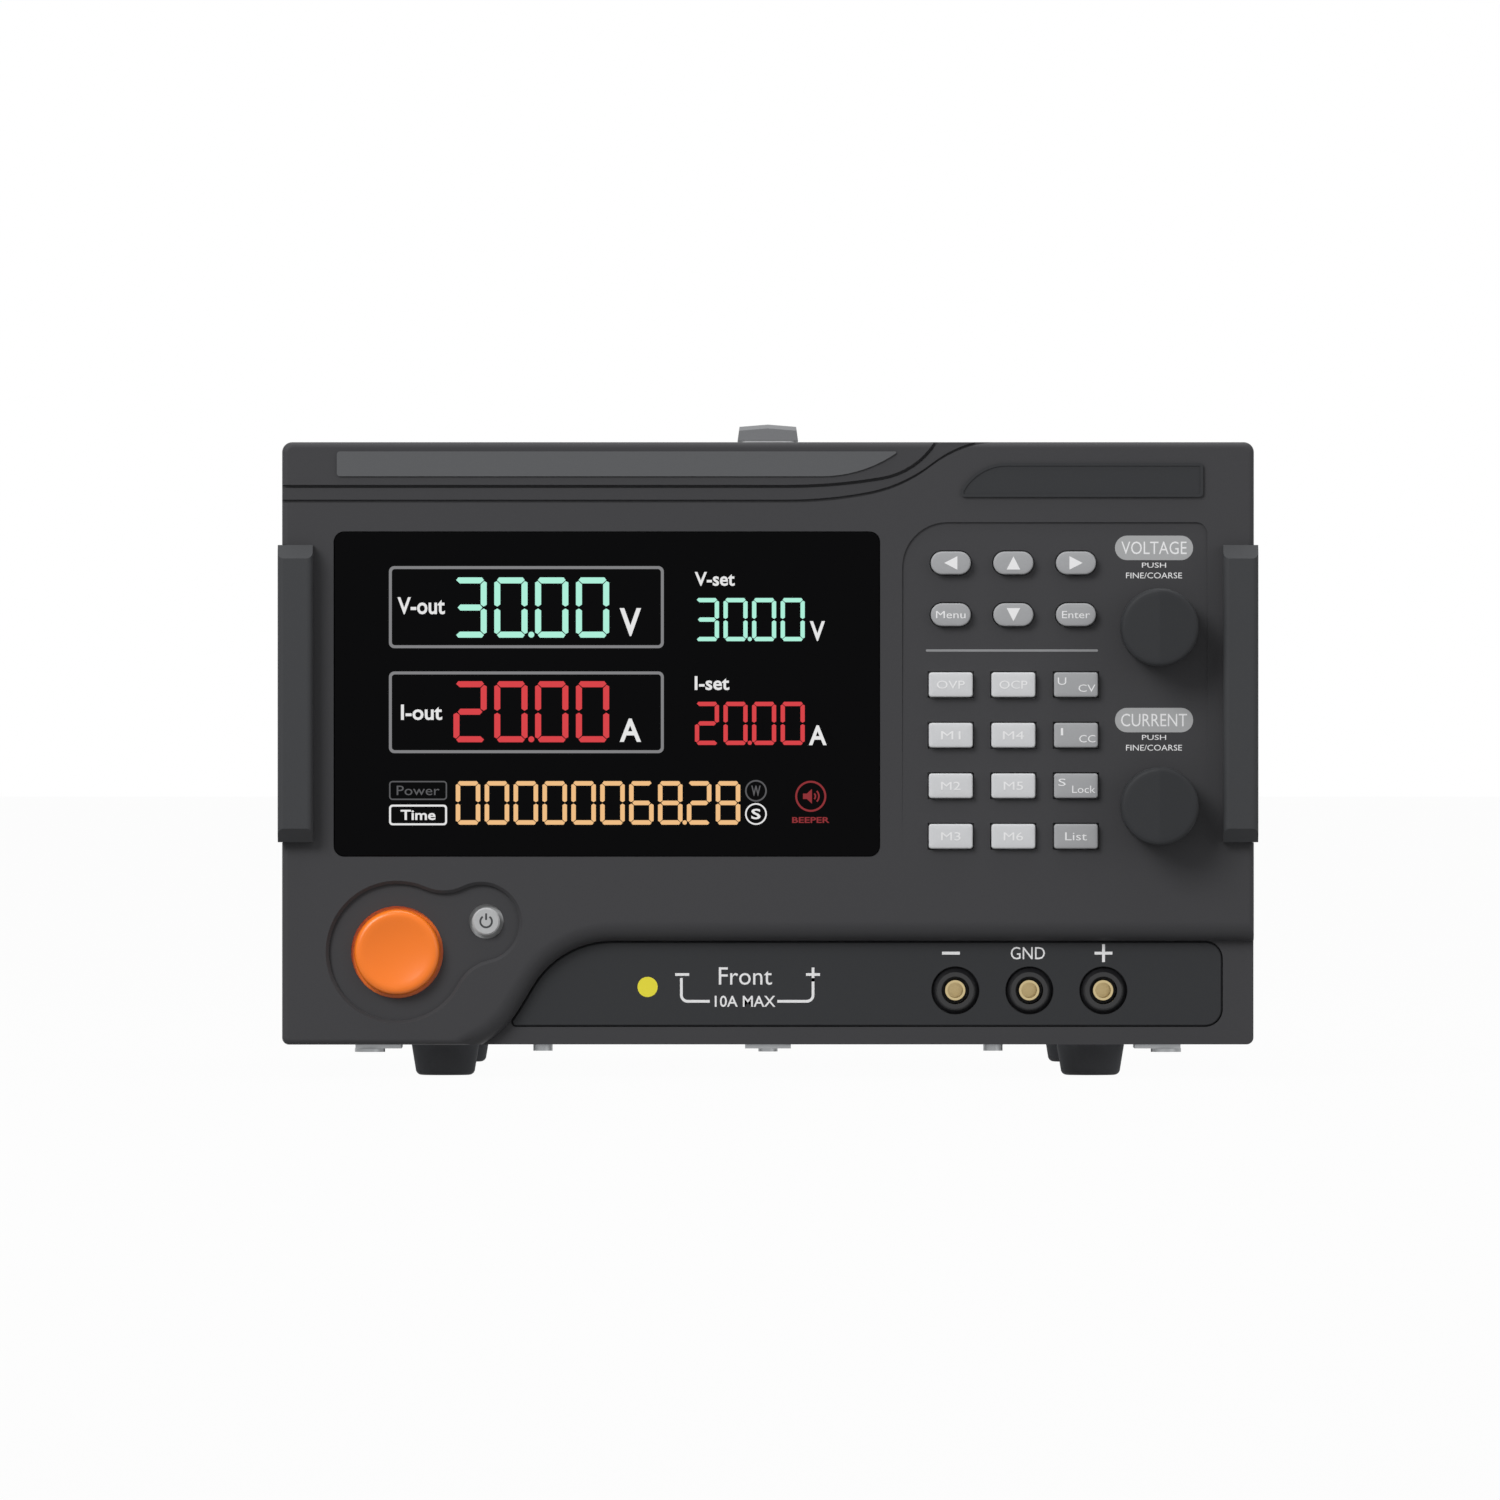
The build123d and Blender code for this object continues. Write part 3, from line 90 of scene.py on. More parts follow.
def finishMesh(name, mesh, material, body, replaced=(), smoothAngle=32):
    shape = bmesh.new()
    shape.from_mesh(mesh)
    bmesh.ops.remove_doubles(shape, verts=shape.verts, dist=0.000002)
    bmesh.ops.dissolve_degenerate(shape, edges=shape.edges, dist=0.0000005)
    bmesh.ops.recalc_face_normals(shape, faces=shape.faces)
    shape.to_mesh(mesh)
    shape.free()
    mesh.shade_smooth()
    mesh.set_sharp_from_angle(angle=math.radians(smoothAngle))
    mesh.materials.clear()
    mesh.materials.append(material)
    piece = bpy.data.objects.new(name, mesh)
    bpy.context.scene.collection.objects.link(piece)
    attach(piece, body)
    if replaced:
        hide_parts(*replaced)
    return piece


# Quads of a grid of points, whose last column joins the first
def gridFaces(rows, columns):
    index = np.arange(rows * columns).reshape(rows, columns)
    right = np.roll(index, -1, axis=1)
    quads = np.stack([index[:-1], right[:-1], right[1:], index[1:]], axis=-1)
    return quads.reshape(-1, 4).tolist()


# Each corner is its centre plus radius times (cos, sin) of the angle
def roundedOutline(width, height, radius, perCorner=7):
    angle = np.concatenate([np.linspace(q, q + 1, perCorner) for q in range(4)]) * math.pi / 2
    quarter = np.repeat(np.arange(4), perCorner)
    across = np.where((quarter == 0) | (quarter == 3), 1, -1) * (width / 2 - radius)
    along = np.where(quarter < 2, 1, -1) * (height / 2 - radius)
    return np.stack([across + radius * np.cos(angle), along + radius * np.sin(angle)], axis=1)


def roundOutline(radius, count=40):
    angle = np.arange(count) * 2 * math.pi / count
    return np.stack([radius * np.cos(angle), radius * np.sin(angle)], axis=1)


# Each flat outline (x, z) gets a thickness along y: front, back and walls
def plateShape(outlines, front, back):
    points, faces, start = [], [], 0
    for outline in outlines:
        outline = np.asarray(outline, float)
        count = len(outline)
        for depth in (front, back):
            points.append(np.column_stack([outline[:, 0], np.full(count, depth), outline[:, 1]]))
        ring = np.arange(count)
        following = np.roll(ring, -1)
        walls = np.stack([ring, following, following + count, ring + count], axis=1) + start
        faces += walls.tolist() + [(ring[::-1] + start).tolist(), (ring + count + start).tolist()]
        start += 2 * count
    return np.concatenate(points), faces


def ringShape(outer, inner, front, back):  # a band between two outlines, as a closed tube of four loops
    loops = [(outer, front), (outer, back), (inner, back), (inner, front), (outer, front)]
    rows = [np.column_stack([line[:, 0], np.full(len(line), depth), line[:, 1]]) for line, depth in loops]
    return np.concatenate(rows), gridFaces(len(rows), len(outer))


# Radius and depth turned round the y axis: x + r cos a, z + r sin a
def latheShape(profile, centre, count=72):
    profile = np.asarray(profile, float)
    angle = np.arange(count) * 2 * math.pi / count
    radius = profile[:, :1]
    x = centre[0] + radius * np.cos(angle)
    z = centre[1] + radius * np.sin(angle)
    y = np.repeat(profile[:, 1:], count, axis=1)
    return np.stack([x, y, z], axis=-1).reshape(-1, 3), gridFaces(len(profile), count)


def roundCorner(centre, radius, start, end, count=6):  # points of an arc in the profile plane
    angle = np.radians(np.linspace(start, end, count))
    across, along = centre[0] + radius * np.cos(angle), centre[1] + radius * np.sin(angle)
    return np.column_stack([across, along]).tolist()


def textShape(words, width, height, thickness, weight=0.0):  # built-in letters fitted to a width and height
    curve = bpy.data.curves.new("letters", "FONT")
    curve.body = words
    curve.extrude = 0.05
    curve.offset = weight
    curve.resolution_u = 3
    letters = bpy.data.objects.new("letters", curve)
    bpy.context.scene.collection.objects.link(letters)
    bpy.context.view_layer.update()
    mesh = bpy.data.meshes.new_from_object(letters.evaluated_get(bpy.context.evaluated_depsgraph_get()))
    points = np.zeros(len(mesh.vertices) * 3)
    mesh.vertices.foreach_get("co", points)
    points = points.reshape(-1, 3)
    faces = [list(face.vertices) for face in mesh.polygons]
    bpy.data.objects.remove(letters)
    bpy.data.curves.remove(curve)
    bpy.data.meshes.remove(mesh)
    low, high = points.min(0), points.max(0)
    share = (points - (low + high) / 2) / (high - low)
    return np.column_stack([share[:, 0] * width, -share[:, 2] * thickness, share[:, 1] * height]), faces


def joined(shapes):  # several (points, faces) shapes as one
    points, faces, start = [], [], 0
    for some, more in shapes:
        points.append(some)
        faces += [[index + start for index in face] for face in more]
        start += len(some)
    return np.concatenate(points), faces


def moved(shape, x, y, z):
    return shape[0] + np.array([x, y, z]), shape[1]


# Materials

def surfaceMaterial(name, colour, roughness, metallic=0.0, specular=0.5):
    material = bpy.data.materials.new(name)
    material.use_nodes = True
    shader = material.node_tree.nodes["Principled BSDF"]
    shader.inputs["Base Color"].default_value = linearColour(colour)
    shader.inputs["Roughness"].default_value = roughness
    shader.inputs["Metallic"].default_value = metallic
    shader.inputs["Specular IOR Level"].default_value = specular
    return material, shader


def addRelief(material, shader, size, depth, stretch=(1, 1, 1), detail=2.0):
    # bumps whose width is size millimetres and whose height is depth millimetres, on Object coordinates
    place = addNode(material, "ShaderNodeTexCoord")
    scaled = addNode(material, "ShaderNodeMapping", {"Vector": place.outputs["Object"], "Scale": stretch})
    values = {"Vector": scaled.outputs["Vector"], "Scale": 1000 / size, "Detail": detail}
    grain = addNode(material, "ShaderNodeTexNoise", values)
    values = {"Height": grain.outputs["Fac"], "Distance": depth / 1000, "Strength": 1.0}
    bump = addNode(material, "ShaderNodeBump", values)
    material.node_tree.links.new(bump.outputs["Normal"], shader.inputs["Normal"])
    return grain


def addWear(material, shader, grain, colour, spread, roughness, change):
    # colour and roughness drift a little with the same grain
    values = {"Value": grain.outputs["Fac"], "To Min": roughness - change, "To Max": roughness + change}
    ramp = addNode(material, "ShaderNodeMapRange", values)
    material.node_tree.links.new(ramp.outputs["Result"], shader.inputs["Roughness"])
    base = linearColour(colour)
    values = {"Value": grain.outputs["Fac"], "To Min": 1 - spread, "To Max": 1 + spread}
    tone = addNode(material, "ShaderNodeMapRange", values)
    mixed = addNode(material, "ShaderNodeVectorMath", {0: base[:3]}, operation="SCALE")
    material.node_tree.links.new(tone.outputs["Result"], mixed.inputs["Scale"])
    material.node_tree.links.new(mixed.outputs["Vector"], shader.inputs["Base Color"])


# Spark-eroded ABS: a fine, even satin grain
def mouldedAbs(name, colour, roughness=0.5, grain=0.45, depth=0.006):
    material, shader = surfaceMaterial(name, colour, roughness, specular=0.12)
    texture = addRelief(material, shader, grain, depth)
    addWear(material, shader, texture, colour, 0.05, roughness, 0.05)
    return material


def glossPlastic(name, colour, roughness=0.18):  # polished mould: clean highlights, faint waviness
    material, shader = surfaceMaterial(name, colour, roughness)
    addRelief(material, shader, 4.0, 0.004)
    return material


def moldedRubber(name, colour):  # matte elastomer: dull, slightly mottled
    material, shader = surfaceMaterial(name, colour, 0.78, specular=0.25)
    texture = addRelief(material, shader, 0.6, 0.012)
    addWear(material, shader, texture, colour, 0.08, 0.78, 0.08)
    return material


def powderCoat(name, colour):  # baked powder: orange-peel ripples about 0.8 mm wide
    material, shader = surfaceMaterial(name, colour, 0.52, specular=0.25)
    texture = addRelief(material, shader, 0.8, 0.015)
    addWear(material, shader, texture, colour, 0.04, 0.52, 0.06)
    return material


# Zinc-plated sheet: long faint roll marks
def rolledSteel(name, colour, roughness=0.36, stretch=(1, 0.04, 1)):
    material, shader = surfaceMaterial(name, colour, roughness, metallic=1.0)
    texture = addRelief(material, shader, 0.3, 0.003, stretch)
    addWear(material, shader, texture, colour, 0.07, roughness, 0.07)
    return material


def platedMetal(name, colour, roughness=0.22):  # turned and plated: tight highlights, tiny tool marks
    material, shader = surfaceMaterial(name, colour, roughness, metallic=1.0)
    addRelief(material, shader, 0.25, 0.0015, (1, 6, 1))
    return material


def glow(name, colour, strength=1.0):  # lit display segment: its own light on black
    material, shader = surfaceMaterial(name, "#000000", 0.6, specular=0.0)
    shader.inputs["Emission Color"].default_value = linearColour(colour)
    shader.inputs["Emission Strength"].default_value = strength
    return material


def printedInk(name, colour):  # screen-printed ink: flat and matte
    material, shader = surfaceMaterial(name, colour, 0.62, specular=0.3)
    addRelief(material, shader, 0.3, 0.002)
    return material


def coatedWindow(name):  # tinted acrylic with an anti-glare coat: near black, very little mirror
    material, shader = surfaceMaterial(name, "#030304", 0.12, specular=0.04)
    addRelief(material, shader, 30.0, 0.002)
    return material


materials = {
    "bezel_plastic": mouldedAbs("mouldedAbsCharcoal", "#3F3F41"),
    "display_acrylic": coatedWindow("tintedAcrylicWindow"),
    "display_frame": mouldedAbs("mouldedAbsBlack", "#1B1C1E", 0.6),
    "strip_film": mouldedAbs("printedPolyesterFilm", "#5A5B5D", 0.42, 0.3, 0.002),
    "plate_metal": mouldedAbs("mouldedAbsPlate", "#353638", 0.4, 0.3, 0.003),
    "panel_plastic": mouldedAbs("mouldedAbsPanel", "#333436", 0.5),
    "socket_plastic": glossPlastic("glassFilledNylonBlack", "#1A1A1C", 0.3),
    "contact_metal": platedMetal("nickelPlatedBrass", "#C9B68A"),
    "grip_rubber": mouldedAbs("mouldedAbsGrip", "#3E3F41", 0.55),
    "board_laminate": glossPlastic("fibreglassLaminateGreen", "#1E5A37", 0.35),
    "encoder_metal": rolledSteel("stampedSteel", "#B9BBBD"),
    "strap_rubber": moldedRubber("mouldedStrapVinyl", "#48494B"),
    "handle_plastic": mouldedAbs("mouldedAbsHandle", "#7A7B7D", 0.5),
    "pad_plastic": mouldedAbs("mouldedPadPlastic", "#C4C5C6", 0.55),
    "case_paint": powderCoat("powderCoatedSteelGrey", "#57585A"),
    "chassis_zinc": rolledSteel("zincPlatedSheet", "#A9ABAD"),
    "foot_rubber": moldedRubber("mouldedRubberFoot", "#66676A"),
    "screw_steel": platedMetal("zincPlatedScrew", "#9C9EA0", 0.3),
    "transformer_tape": glossPlastic("polyesterTapeYellow", "#B8912E", 0.4),
    "capacitor_sleeve": glossPlastic("shrunkSleeveNavy", "#1C2430", 0.3),
    "heatsink_metal": rolledSteel("extrudedAluminium", "#A4A6A8", 0.4, (1, 0.05, 1)),
    "fan_plastic": mouldedAbs("glassFilledPolyesterBlack", "#1A1B1C", 0.5),
    "guard_chrome": platedMetal("brightNickelWire", "#C8CACC", 0.15),
    "inlet_plastic": mouldedAbs("phenolicBlack", "#17181A", 0.45),
    "post_base_plastic": glossPlastic("nylonBlack", "#1C1D1F", 0.3),
    "post_black_plastic": glossPlastic("nylonThumbNutBlack", "#1A1B1D", 0.3),
    "post_red_plastic": glossPlastic("nylonThumbNutRed", "#B3201E", 0.3),
    "button_orange": glossPlastic("polishedAbsOrange", "#F77A12", 0.3),
    "power_key_plastic": mouldedAbs("mouldedAbsLight", "#B4B5B6", 0.45),
    "rocker_plastic": glossPlastic("polishedNylonBlack", "#141517", 0.25),
    "plunger_metal": rolledSteel("turnedSteel", "#B9BBBD"),
    "knob_plastic": mouldedAbs("mouldedAbsKnob", "#313234", 0.5),
    "key_plastic": mouldedAbs("siliconeCoatedKeyGrey", "#A2A3A5", 0.55, 0.3, 0.003),
    "key_light_plastic": mouldedAbs("siliconeCoatedKeyLight", "#CDCED0", 0.55, 0.3, 0.003),
}
inkWhite = printedInk("printedInkWhite", "#E9E9EA")
inkGrey = printedInk("printedInkGrey", "#8A8B8D")
inkPill = printedInk("printedInkPill", "#A6A7A8")
inkYellow = printedInk("printedInkYellow", "#E8DC3C")
inkDark = printedInk("printedInkDark", "#3A3B3D")
glowMint = glow("litSegmentMint", "#AEF0DA")
glowRed = glow("litSegmentRed", "#D8454A")
glowAmber = glow("litSegmentAmber", "#EFBE86")
glowWhite = glow("litLabelWhite", "#E6E6E6")
glowDim = glow("dimLabelGrey", "#5C5C5E")
glowFrame = glow("litFrameGrey", "#828284")
glowDark = glow("dimLabelRed", "#8E3438")
for node, piece in frame["nodes"].items():
    piece.data.materials.clear()
    piece.data.materials.append(materials[slotOfNode[node]])
print("materials made:", len(bpy.data.materials))


# Smooth copies of the CAD pieces, so that rounds shade as rounds

def smoothCopy(node, angle=28):  # doubles merged, edges under the angle shaded round
    mesh = frame["nodes"][node].data.copy()
    for name in [layer.name for layer in mesh.attributes if layer.name == "custom_normal"]:
        mesh.attributes.remove(mesh.attributes[name])
    slotName = slotOfNode[node]
    material, body = materials[slotName], bodyOfNode[node]
    piece = finishMesh(node + "_skin", mesh, material, body, (node,), angle)
    weighted = piece.modifiers.new("flatFacesStayFlat", "WEIGHTED_NORMAL")
    weighted.keep_sharp = True
    return piece


# Keys

keys = {
    "corner": 0.75,  # rounded corners, mm
    "edge": 0.45,  # rounded front edge, mm
    "crown": 0.06,  # the middle stands this much above the edge
    "ink": 0.03,
    "clear": 0.02,  # between the crown and the ink on it
    "shoulder": (1.0, 2.0),  # how far inside the edge the crown's two rings lie
    "wall": 6,  # depth of the cap's wall behind its face
    "flange": (4.95, 6.15, 0.4),  # front, back and corner radius
    "stem": (2.6, 0.3, 6.1),  # side, corner radius and front
    "blockSize": (11.3, 6.35),
    "ovalSize": (10.3, 5.9),
    "blockLabel": 2.1,
    "ovalLabel": 1.9,
    "pairLabel": 1.9,
    "pairLeft": (-3.6, 0.9),  # middle of the small letter
    "pairRight": (5.0, -0.9),  # right end of the words
    "arrow": (3.4, 1.76),
    "labels": {
        "key_menu": "Menu", "key_enter": "Enter", "key_ovp": "OVP", "key_ocp": "OCP", "key_list": "List",
        "key_m1": "M1", "key_m2": "M2", "key_m3": "M3", "key_m4": "M4", "key_m5": "M5", "key_m6": "M6",
    },
    "pairs": {"key_cv": ("U", "CV"), "key_cc": ("I", "CC"), "key_lock": ("S", "Lock")},
    "arrows": {"key_left": 180, "key_up": 90, "key_right": 0, "key_down": 270},
}
labelWidths = {
    "OVP": 7.2, "OCP": 7.2, "M1": 5.0, "M2": 5.0, "M3": 5.0, "M4": 5.4, "M5": 5.0, "M6": 5.0, "Menu": 7.6,
    "Enter": 7.2, "List": 5.6, "CV": 4.4, "CC": 4.2, "Lock": 6.0, "U": 2.2, "I": 0.6, "S": 1.9,
}


def keyPiece(node, width, height, corner):
    # rings of one rounded outline: up the wall, round the edge, inwards to a crowned middle
    low, high = cornersOf(node)
    centre = middleOf(node)
    front, back = low[1] + keys["ink"] + keys["clear"], high[1]
    edge, crown = keys["edge"], keys["crown"]
    turn = np.radians([0, 22.5, 45, 67.5, 90])
    insets = np.concatenate([[0, 0], edge * (1 - np.cos(turn[1:])), edge + np.array(keys["shoulder"])])
    rounding = front + crown + edge * (1 - np.sin(turn[1:]))
    wall, middle = [front + keys["wall"], front + crown + edge], [front + crown * 0.3, front]
    depths = np.concatenate([wall, rounding, middle])
    rows = []
    for inset, depth in zip(insets, depths):
        line = roundedOutline(width - 2 * inset, height - 2 * inset, max(corner - inset, 0.12))
        level = np.full(len(line), depth)
        rows.append(np.column_stack([centre[0] + line[:, 0], level, centre[2] + line[:, 1]]))
    points = np.concatenate(rows)
    columns = len(rows[0])
    faces = gridFaces(len(rows), columns)
    faces += [list(range(columns)), list(range(columns * (len(rows) - 1), columns * len(rows)))[::-1]]
    body = (points, faces)
    flangeFront, flangeBack, flangeCorner = keys["flange"]
    sheet = roundedOutline(high[0] - low[0], high[2] - low[2], flangeCorner)
    flange = plateShape([sheet], front + flangeFront, front + flangeBack)
    side, stemCorner, stemFront = keys["stem"]
    stem = plateShape([roundedOutline(side, side, stemCorner)], front + stemFront, back)
    shape = joined([body, moved(flange, centre[0], 0, centre[2]), moved(stem, centre[0], 0, centre[2])])
    slotName = slotOfNode[node]
    return meshObject(node + "_cap", *shape, materials[slotName], bodyOfNode[node], slotName, (node,))


def keyInk(node, shape):  # the legend lies flush with the front of the key's CAD box
    low, _ = cornersOf(node)
    centre = middleOf(node)
    place = moved(shape, centre[0], low[1] + keys["ink"] / 2, centre[2])
    return meshObject(node + "_legend", *place, inkWhite, bodyOfNode[node], slotOfNode[node])


ovalNodes = ("key_left", "key_up", "key_right", "key_menu", "key_down", "key_enter")
for node in [name for name in frame["nodes"] if name.startswith("key_")]:
    oval = node in ovalNodes
    width, height = keys["ovalSize"] if oval else keys["blockSize"]
    keyPiece(node, width, height, height / 2 - 0.05 if oval else keys["corner"])
    if node in keys["labels"]:
        words = keys["labels"][node]
        tall = keys["ovalLabel"] if oval else keys["blockLabel"]
        keyInk(node, textShape(words, labelWidths[words], tall, keys["ink"]))
    elif node in keys["pairs"]:
        small, large = keys["pairs"][node]
        tall, (left, high), (right, low) = keys["pairLabel"], keys["pairLeft"], keys["pairRight"]
        first = moved(textShape(small, labelWidths[small], tall, keys["ink"]), left, 0, high)
        second = textShape(large, labelWidths[large], tall, keys["ink"])
        second = moved(second, right - labelWidths[large] / 2, 0, low)
        keyInk(node, joined([first, second]))
    else:
        reach, half = keys["arrow"]
        turn = math.radians(keys["arrows"][node])
        corners = np.array([[reach / 2, 0], [-reach / 2, half], [-reach / 2, -half]])
        spun = corners @ np.array([[math.cos(turn), math.sin(turn)], [-math.sin(turn), math.cos(turn)]])
        keyInk(node, plateShape([spun], -keys["ink"] / 2, keys["ink"] / 2))
print("keys made")


# Display

windowLow, windowHigh = cornersOf("display_window")
display = {  # millimetres from the window's left and top edges
    "ink": 0.04,
    "frames": [(14.1, 8.8, 70.7, 21.1), (14.1, 35.9, 70.7, 21.0)],
    "frameRadius": 1.4,
    "frameStroke": 0.75,
    "labels": [
        ("V-out", 22.4, 19.0, 12.2, 4.4), ("I-out", 22.5, 46.4, 10.6, 4.0),
        ("V-set", 97.9, 12.1, 10.3, 3.6), ("I-set", 97.2, 38.9, 8.9, 3.6),
        ("V", 76.2, 23.2, 5.5, 7.2), ("A", 76.2, 51.0, 5.5, 6.0),
        ("V", 124.3, 25.5, 3.9, 5.1), ("A", 124.4, 52.3, 4.6, 5.1),
    ],
    "numbers": [  # text, colour, left of the first digit, top, digit width, digit height, pitch, stroke
        ("30.00", "mint", 30.7, 11.7, 8.55, 15.5, 10.5, 1.55),
        ("20.00", "red", 30.7, 38.4, 8.55, 15.7, 10.5, 1.55),
        ("30.00", "mint", 92.8, 17.0, 6.2, 11.1, 7.35, 1.1),
        ("20.00", "red", 92.8, 43.7, 6.2, 11.1, 7.35, 1.1),
        ("00000068.28", "amber", 31.3, 64.1, 6.3, 11.2, 7.43, 1.15),
    ],
    "boxes": [("Power", 21.6, 66.5, 14.9, 4.9, False), ("Time", 21.6, 72.8, 14.9, 5.3, True)],
    "circles": [("W", 108.5, 66.6, 2.8, False), ("S", 108.5, 72.55, 2.8, True)],
    "bold": 0.02,  # how much the letters are thickened, as a share of their size
    "litBox": (0.5, 9.0, 0.02, glowWhite),  # stroke, width of the word, thickening, material
    "dimBox": (0.35, 11.0, 0.0, glowDim),
    "boxRadii": (0.9, 0.5),
    "circleStroke": 0.4,
    "circleLetter": (2.4, 2.7),
    "beeper": (122.6, 68.0, 4.0),
    "beeperStroke": 0.5,
    "beeperWord": ("BEEPER", 9.6, 1.5, 6.1),
    "horn": [[-2.0, 0.7], [-1.0, 0.7], [0.3, 1.9], [0.3, -1.9], [-1.0, -0.7], [-2.0, -0.7]],
    "wave": (0.2, 0.4),  # middle and stroke of the arcs beside the horn
    "waves": (1.2, 2.1),
}
segments = {"0": "abcdef", "2": "abged", "3": "abgcd", "6": "afgedc", "8": "abcdefg"}
glows = {"mint": glowMint, "red": glowRed, "amber": glowAmber}


def windowX(u):
    return windowLow[0] + u


def windowZ(v):
    return windowHigh[2] - v


def segmentOutlines(character, width, height, stroke):
    # bars with cut ends: mirrored, the top bar gives the bottom one and the right bars the left ones
    cut, gap = stroke * 0.45, stroke * 0.16
    outside, inside, tip, bevel = stroke * 0.8, stroke * 1.05, stroke * 0.7, stroke * 1.15
    half, centreLine = stroke / 2, -height / 2
    level = np.array([
        [outside, 0], [width - outside, 0], [width - cut, -cut],
        [width - inside, -stroke], [inside, -stroke], [cut, -cut],
    ])
    upright = np.array([
        [0, -stroke * 0.85], [-cut, -cut - gap], [-stroke, -stroke - gap],
        [-stroke, centreLine + half], [-half, centreLine + gap], [0, centreLine + cut],
    ])
    middle = np.array([
        [tip, 0], [bevel, half], [width - bevel, half],
        [width - tip, 0], [width - bevel, -half], [bevel, -half],
    ])
    flipX, flipZ = np.array([-1, 1]), np.array([1, -1])
    shapes = {
        "a": level + [0, height], "d": level * flipZ, "g": middle - [0, centreLine],
        "b": upright + [width, height], "c": upright * flipZ + [width, 0],
        "f": upright * flipX + [0, height], "e": upright * -1.0,
    }
    return [shapes[name] for name in segments[character]]


def displayPiece(name, shape, material):  # a thin plate on the front of the window
    placed = moved(shape, 0, windowLow[1] - display["ink"] / 2, 0)
    return meshObject(name, *placed, material, "case", "display_acrylic")


thin = display["ink"] / 2
for row, (text, colour, left, top, width, height, pitch, stroke) in enumerate(display["numbers"]):
    outlines, place = [], 0
    for character in text:
        x, z = windowX(left + pitch * place), windowZ(top + height)
        if character == ".":
            outlines.append(roundOutline(stroke * 0.5, 16) + [x - (pitch - width) / 2, z + stroke * 0.5])
        else:
            outlines += [outline + [x, z] for outline in segmentOutlines(character, width, height, stroke)]
            place += 1
    displayPiece("display_number_%d" % row, plateShape(outlines, -thin, thin), glows[colour])
for row, (u, v, width, height) in enumerate(display["frames"]):
    stroke, radius = display["frameStroke"], display["frameRadius"]
    outer = roundedOutline(width, height, radius)
    inner = roundedOutline(width - 2 * stroke, height - 2 * stroke, radius - stroke * 0.8)
    shape = moved(ringShape(outer, inner, -thin, thin), windowX(u + width / 2), 0, windowZ(v + height / 2))
    displayPiece("display_frame_%d" % row, shape, glowFrame)
for row, (text, u, v, width, height) in enumerate(display["labels"]):
    letters = textShape(text, width, height, display["ink"], display["bold"])
    shape = moved(letters, windowX(u), 0, windowZ(v))
    displayPiece("display_label_%d" % row, shape, glowWhite)
for row, (text, u, v, width, height, lit) in enumerate(display["boxes"]):
    stroke, wide, weight, material = display["litBox"] if lit else display["dimBox"]
    outerRadius, innerRadius = display["boxRadii"]
    inner = roundedOutline(width - 2 * stroke, height - 2 * stroke, innerRadius)
    ring = ringShape(roundedOutline(width, height, outerRadius), inner, -thin, thin)
    words = textShape(text, wide, height / 2, display["ink"], weight)
    displayPiece("display_box_%d" % row, moved(joined([ring, words]), windowX(u), 0, windowZ(v)), material)
for row, (text, u, v, radius, lit) in enumerate(display["circles"]):
    inner = roundOutline(radius - display["circleStroke"], 32)
    ring = ringShape(roundOutline(radius, 32), inner, -thin, thin)
    words = textShape(text, *display["circleLetter"], display["ink"], display["bold"])
    material = glowWhite if lit else glowDim
    displayPiece("display_mark_%d" % row, moved(joined([ring, words]), windowX(u), 0, windowZ(v)), material)
u, v, radius = display["beeper"]
horn = plateShape([np.array(display["horn"])], -thin, thin)
inner = roundOutline(radius - display["beeperStroke"], 40)
beeper = [ringShape(roundOutline(radius, 40), inner, -thin, thin), horn]
waveX, waveStroke = display["wave"]
angle = np.radians(np.linspace(-45, 45, 9))
arc = np.column_stack([np.cos(angle), np.sin(angle)])
for reach in display["waves"]:
    wave = np.concatenate([reach * arc, ((reach - waveStroke) * arc)[::-1]]) + [waveX, 0]
    beeper.append(plateShape([wave], -thin, thin))
word, wide, tall, drop = display["beeperWord"]
beeper.append(moved(textShape(word, wide, tall, display["ink"], display["bold"]), 0, 0, -drop))
displayPiece("display_beeper", moved(joined(beeper), windowX(u), 0, windowZ(v)), glowDark)
print("display made")


# Printing on the front

_, bezelHigh = cornersOf("front_bezel")
gripLow, _ = cornersOf("side_grips")
gripStand = 7.0
frontFace = gripLow[1] + gripStand  # main face of the moulding, which the grips stand in front of
panelLow, _ = cornersOf("output_panel")
printing = {
    "ink": 0.03,
    "recess": {"drop": 20.6, "height": 87.0, "depth": 0.6},  # keypad recess, measured from the case's top
    "pillSize": (20.1, 6.3),
    "pills": [("VOLTAGE", 16.8, 136.1), ("CURRENT", 17.0, 91.8)],
    "pillX": 99.3,
    "pillLetters": 3.3,
    "small": [("PUSH", 6.2, 1.3, -4.45), ("FINE/COARSE", 14.4, 1.5, -7.1)],
    "line": (40.6, 84.9, 109.7, 0.6),
    "marks": [("GND", 66.9, 31.8, 8.8, 3.2)],
    "signs": [(47.1, 31.8, False), (86.4, 31.8, True)],
    "front": ("Front", -5.8, 25.9, 13.7, 4.5),
    "rating": ("10A MAX", -5.9, 19.4, 15.6, 2.9),
    "sign": (4.6, 0.75),  # length and stroke of the signs over the sockets
    "smallSign": (3.6, 0.7),
    "smallSigns": [("bracket_minus", -22.1, False), ("bracket_plus", 11.6, True)],
    "smallSignZ": 26.3,
    "bracket": {
        "left": -22.3, "right": 11.6, "top": 25.4, "floor": 19.4,
        "gapLeft": -15.0, "gapRight": 2.4, "stroke": 0.7, "radius": 1.6,
    },
    "marker": (-31.0, 23.1, 2.6),
}


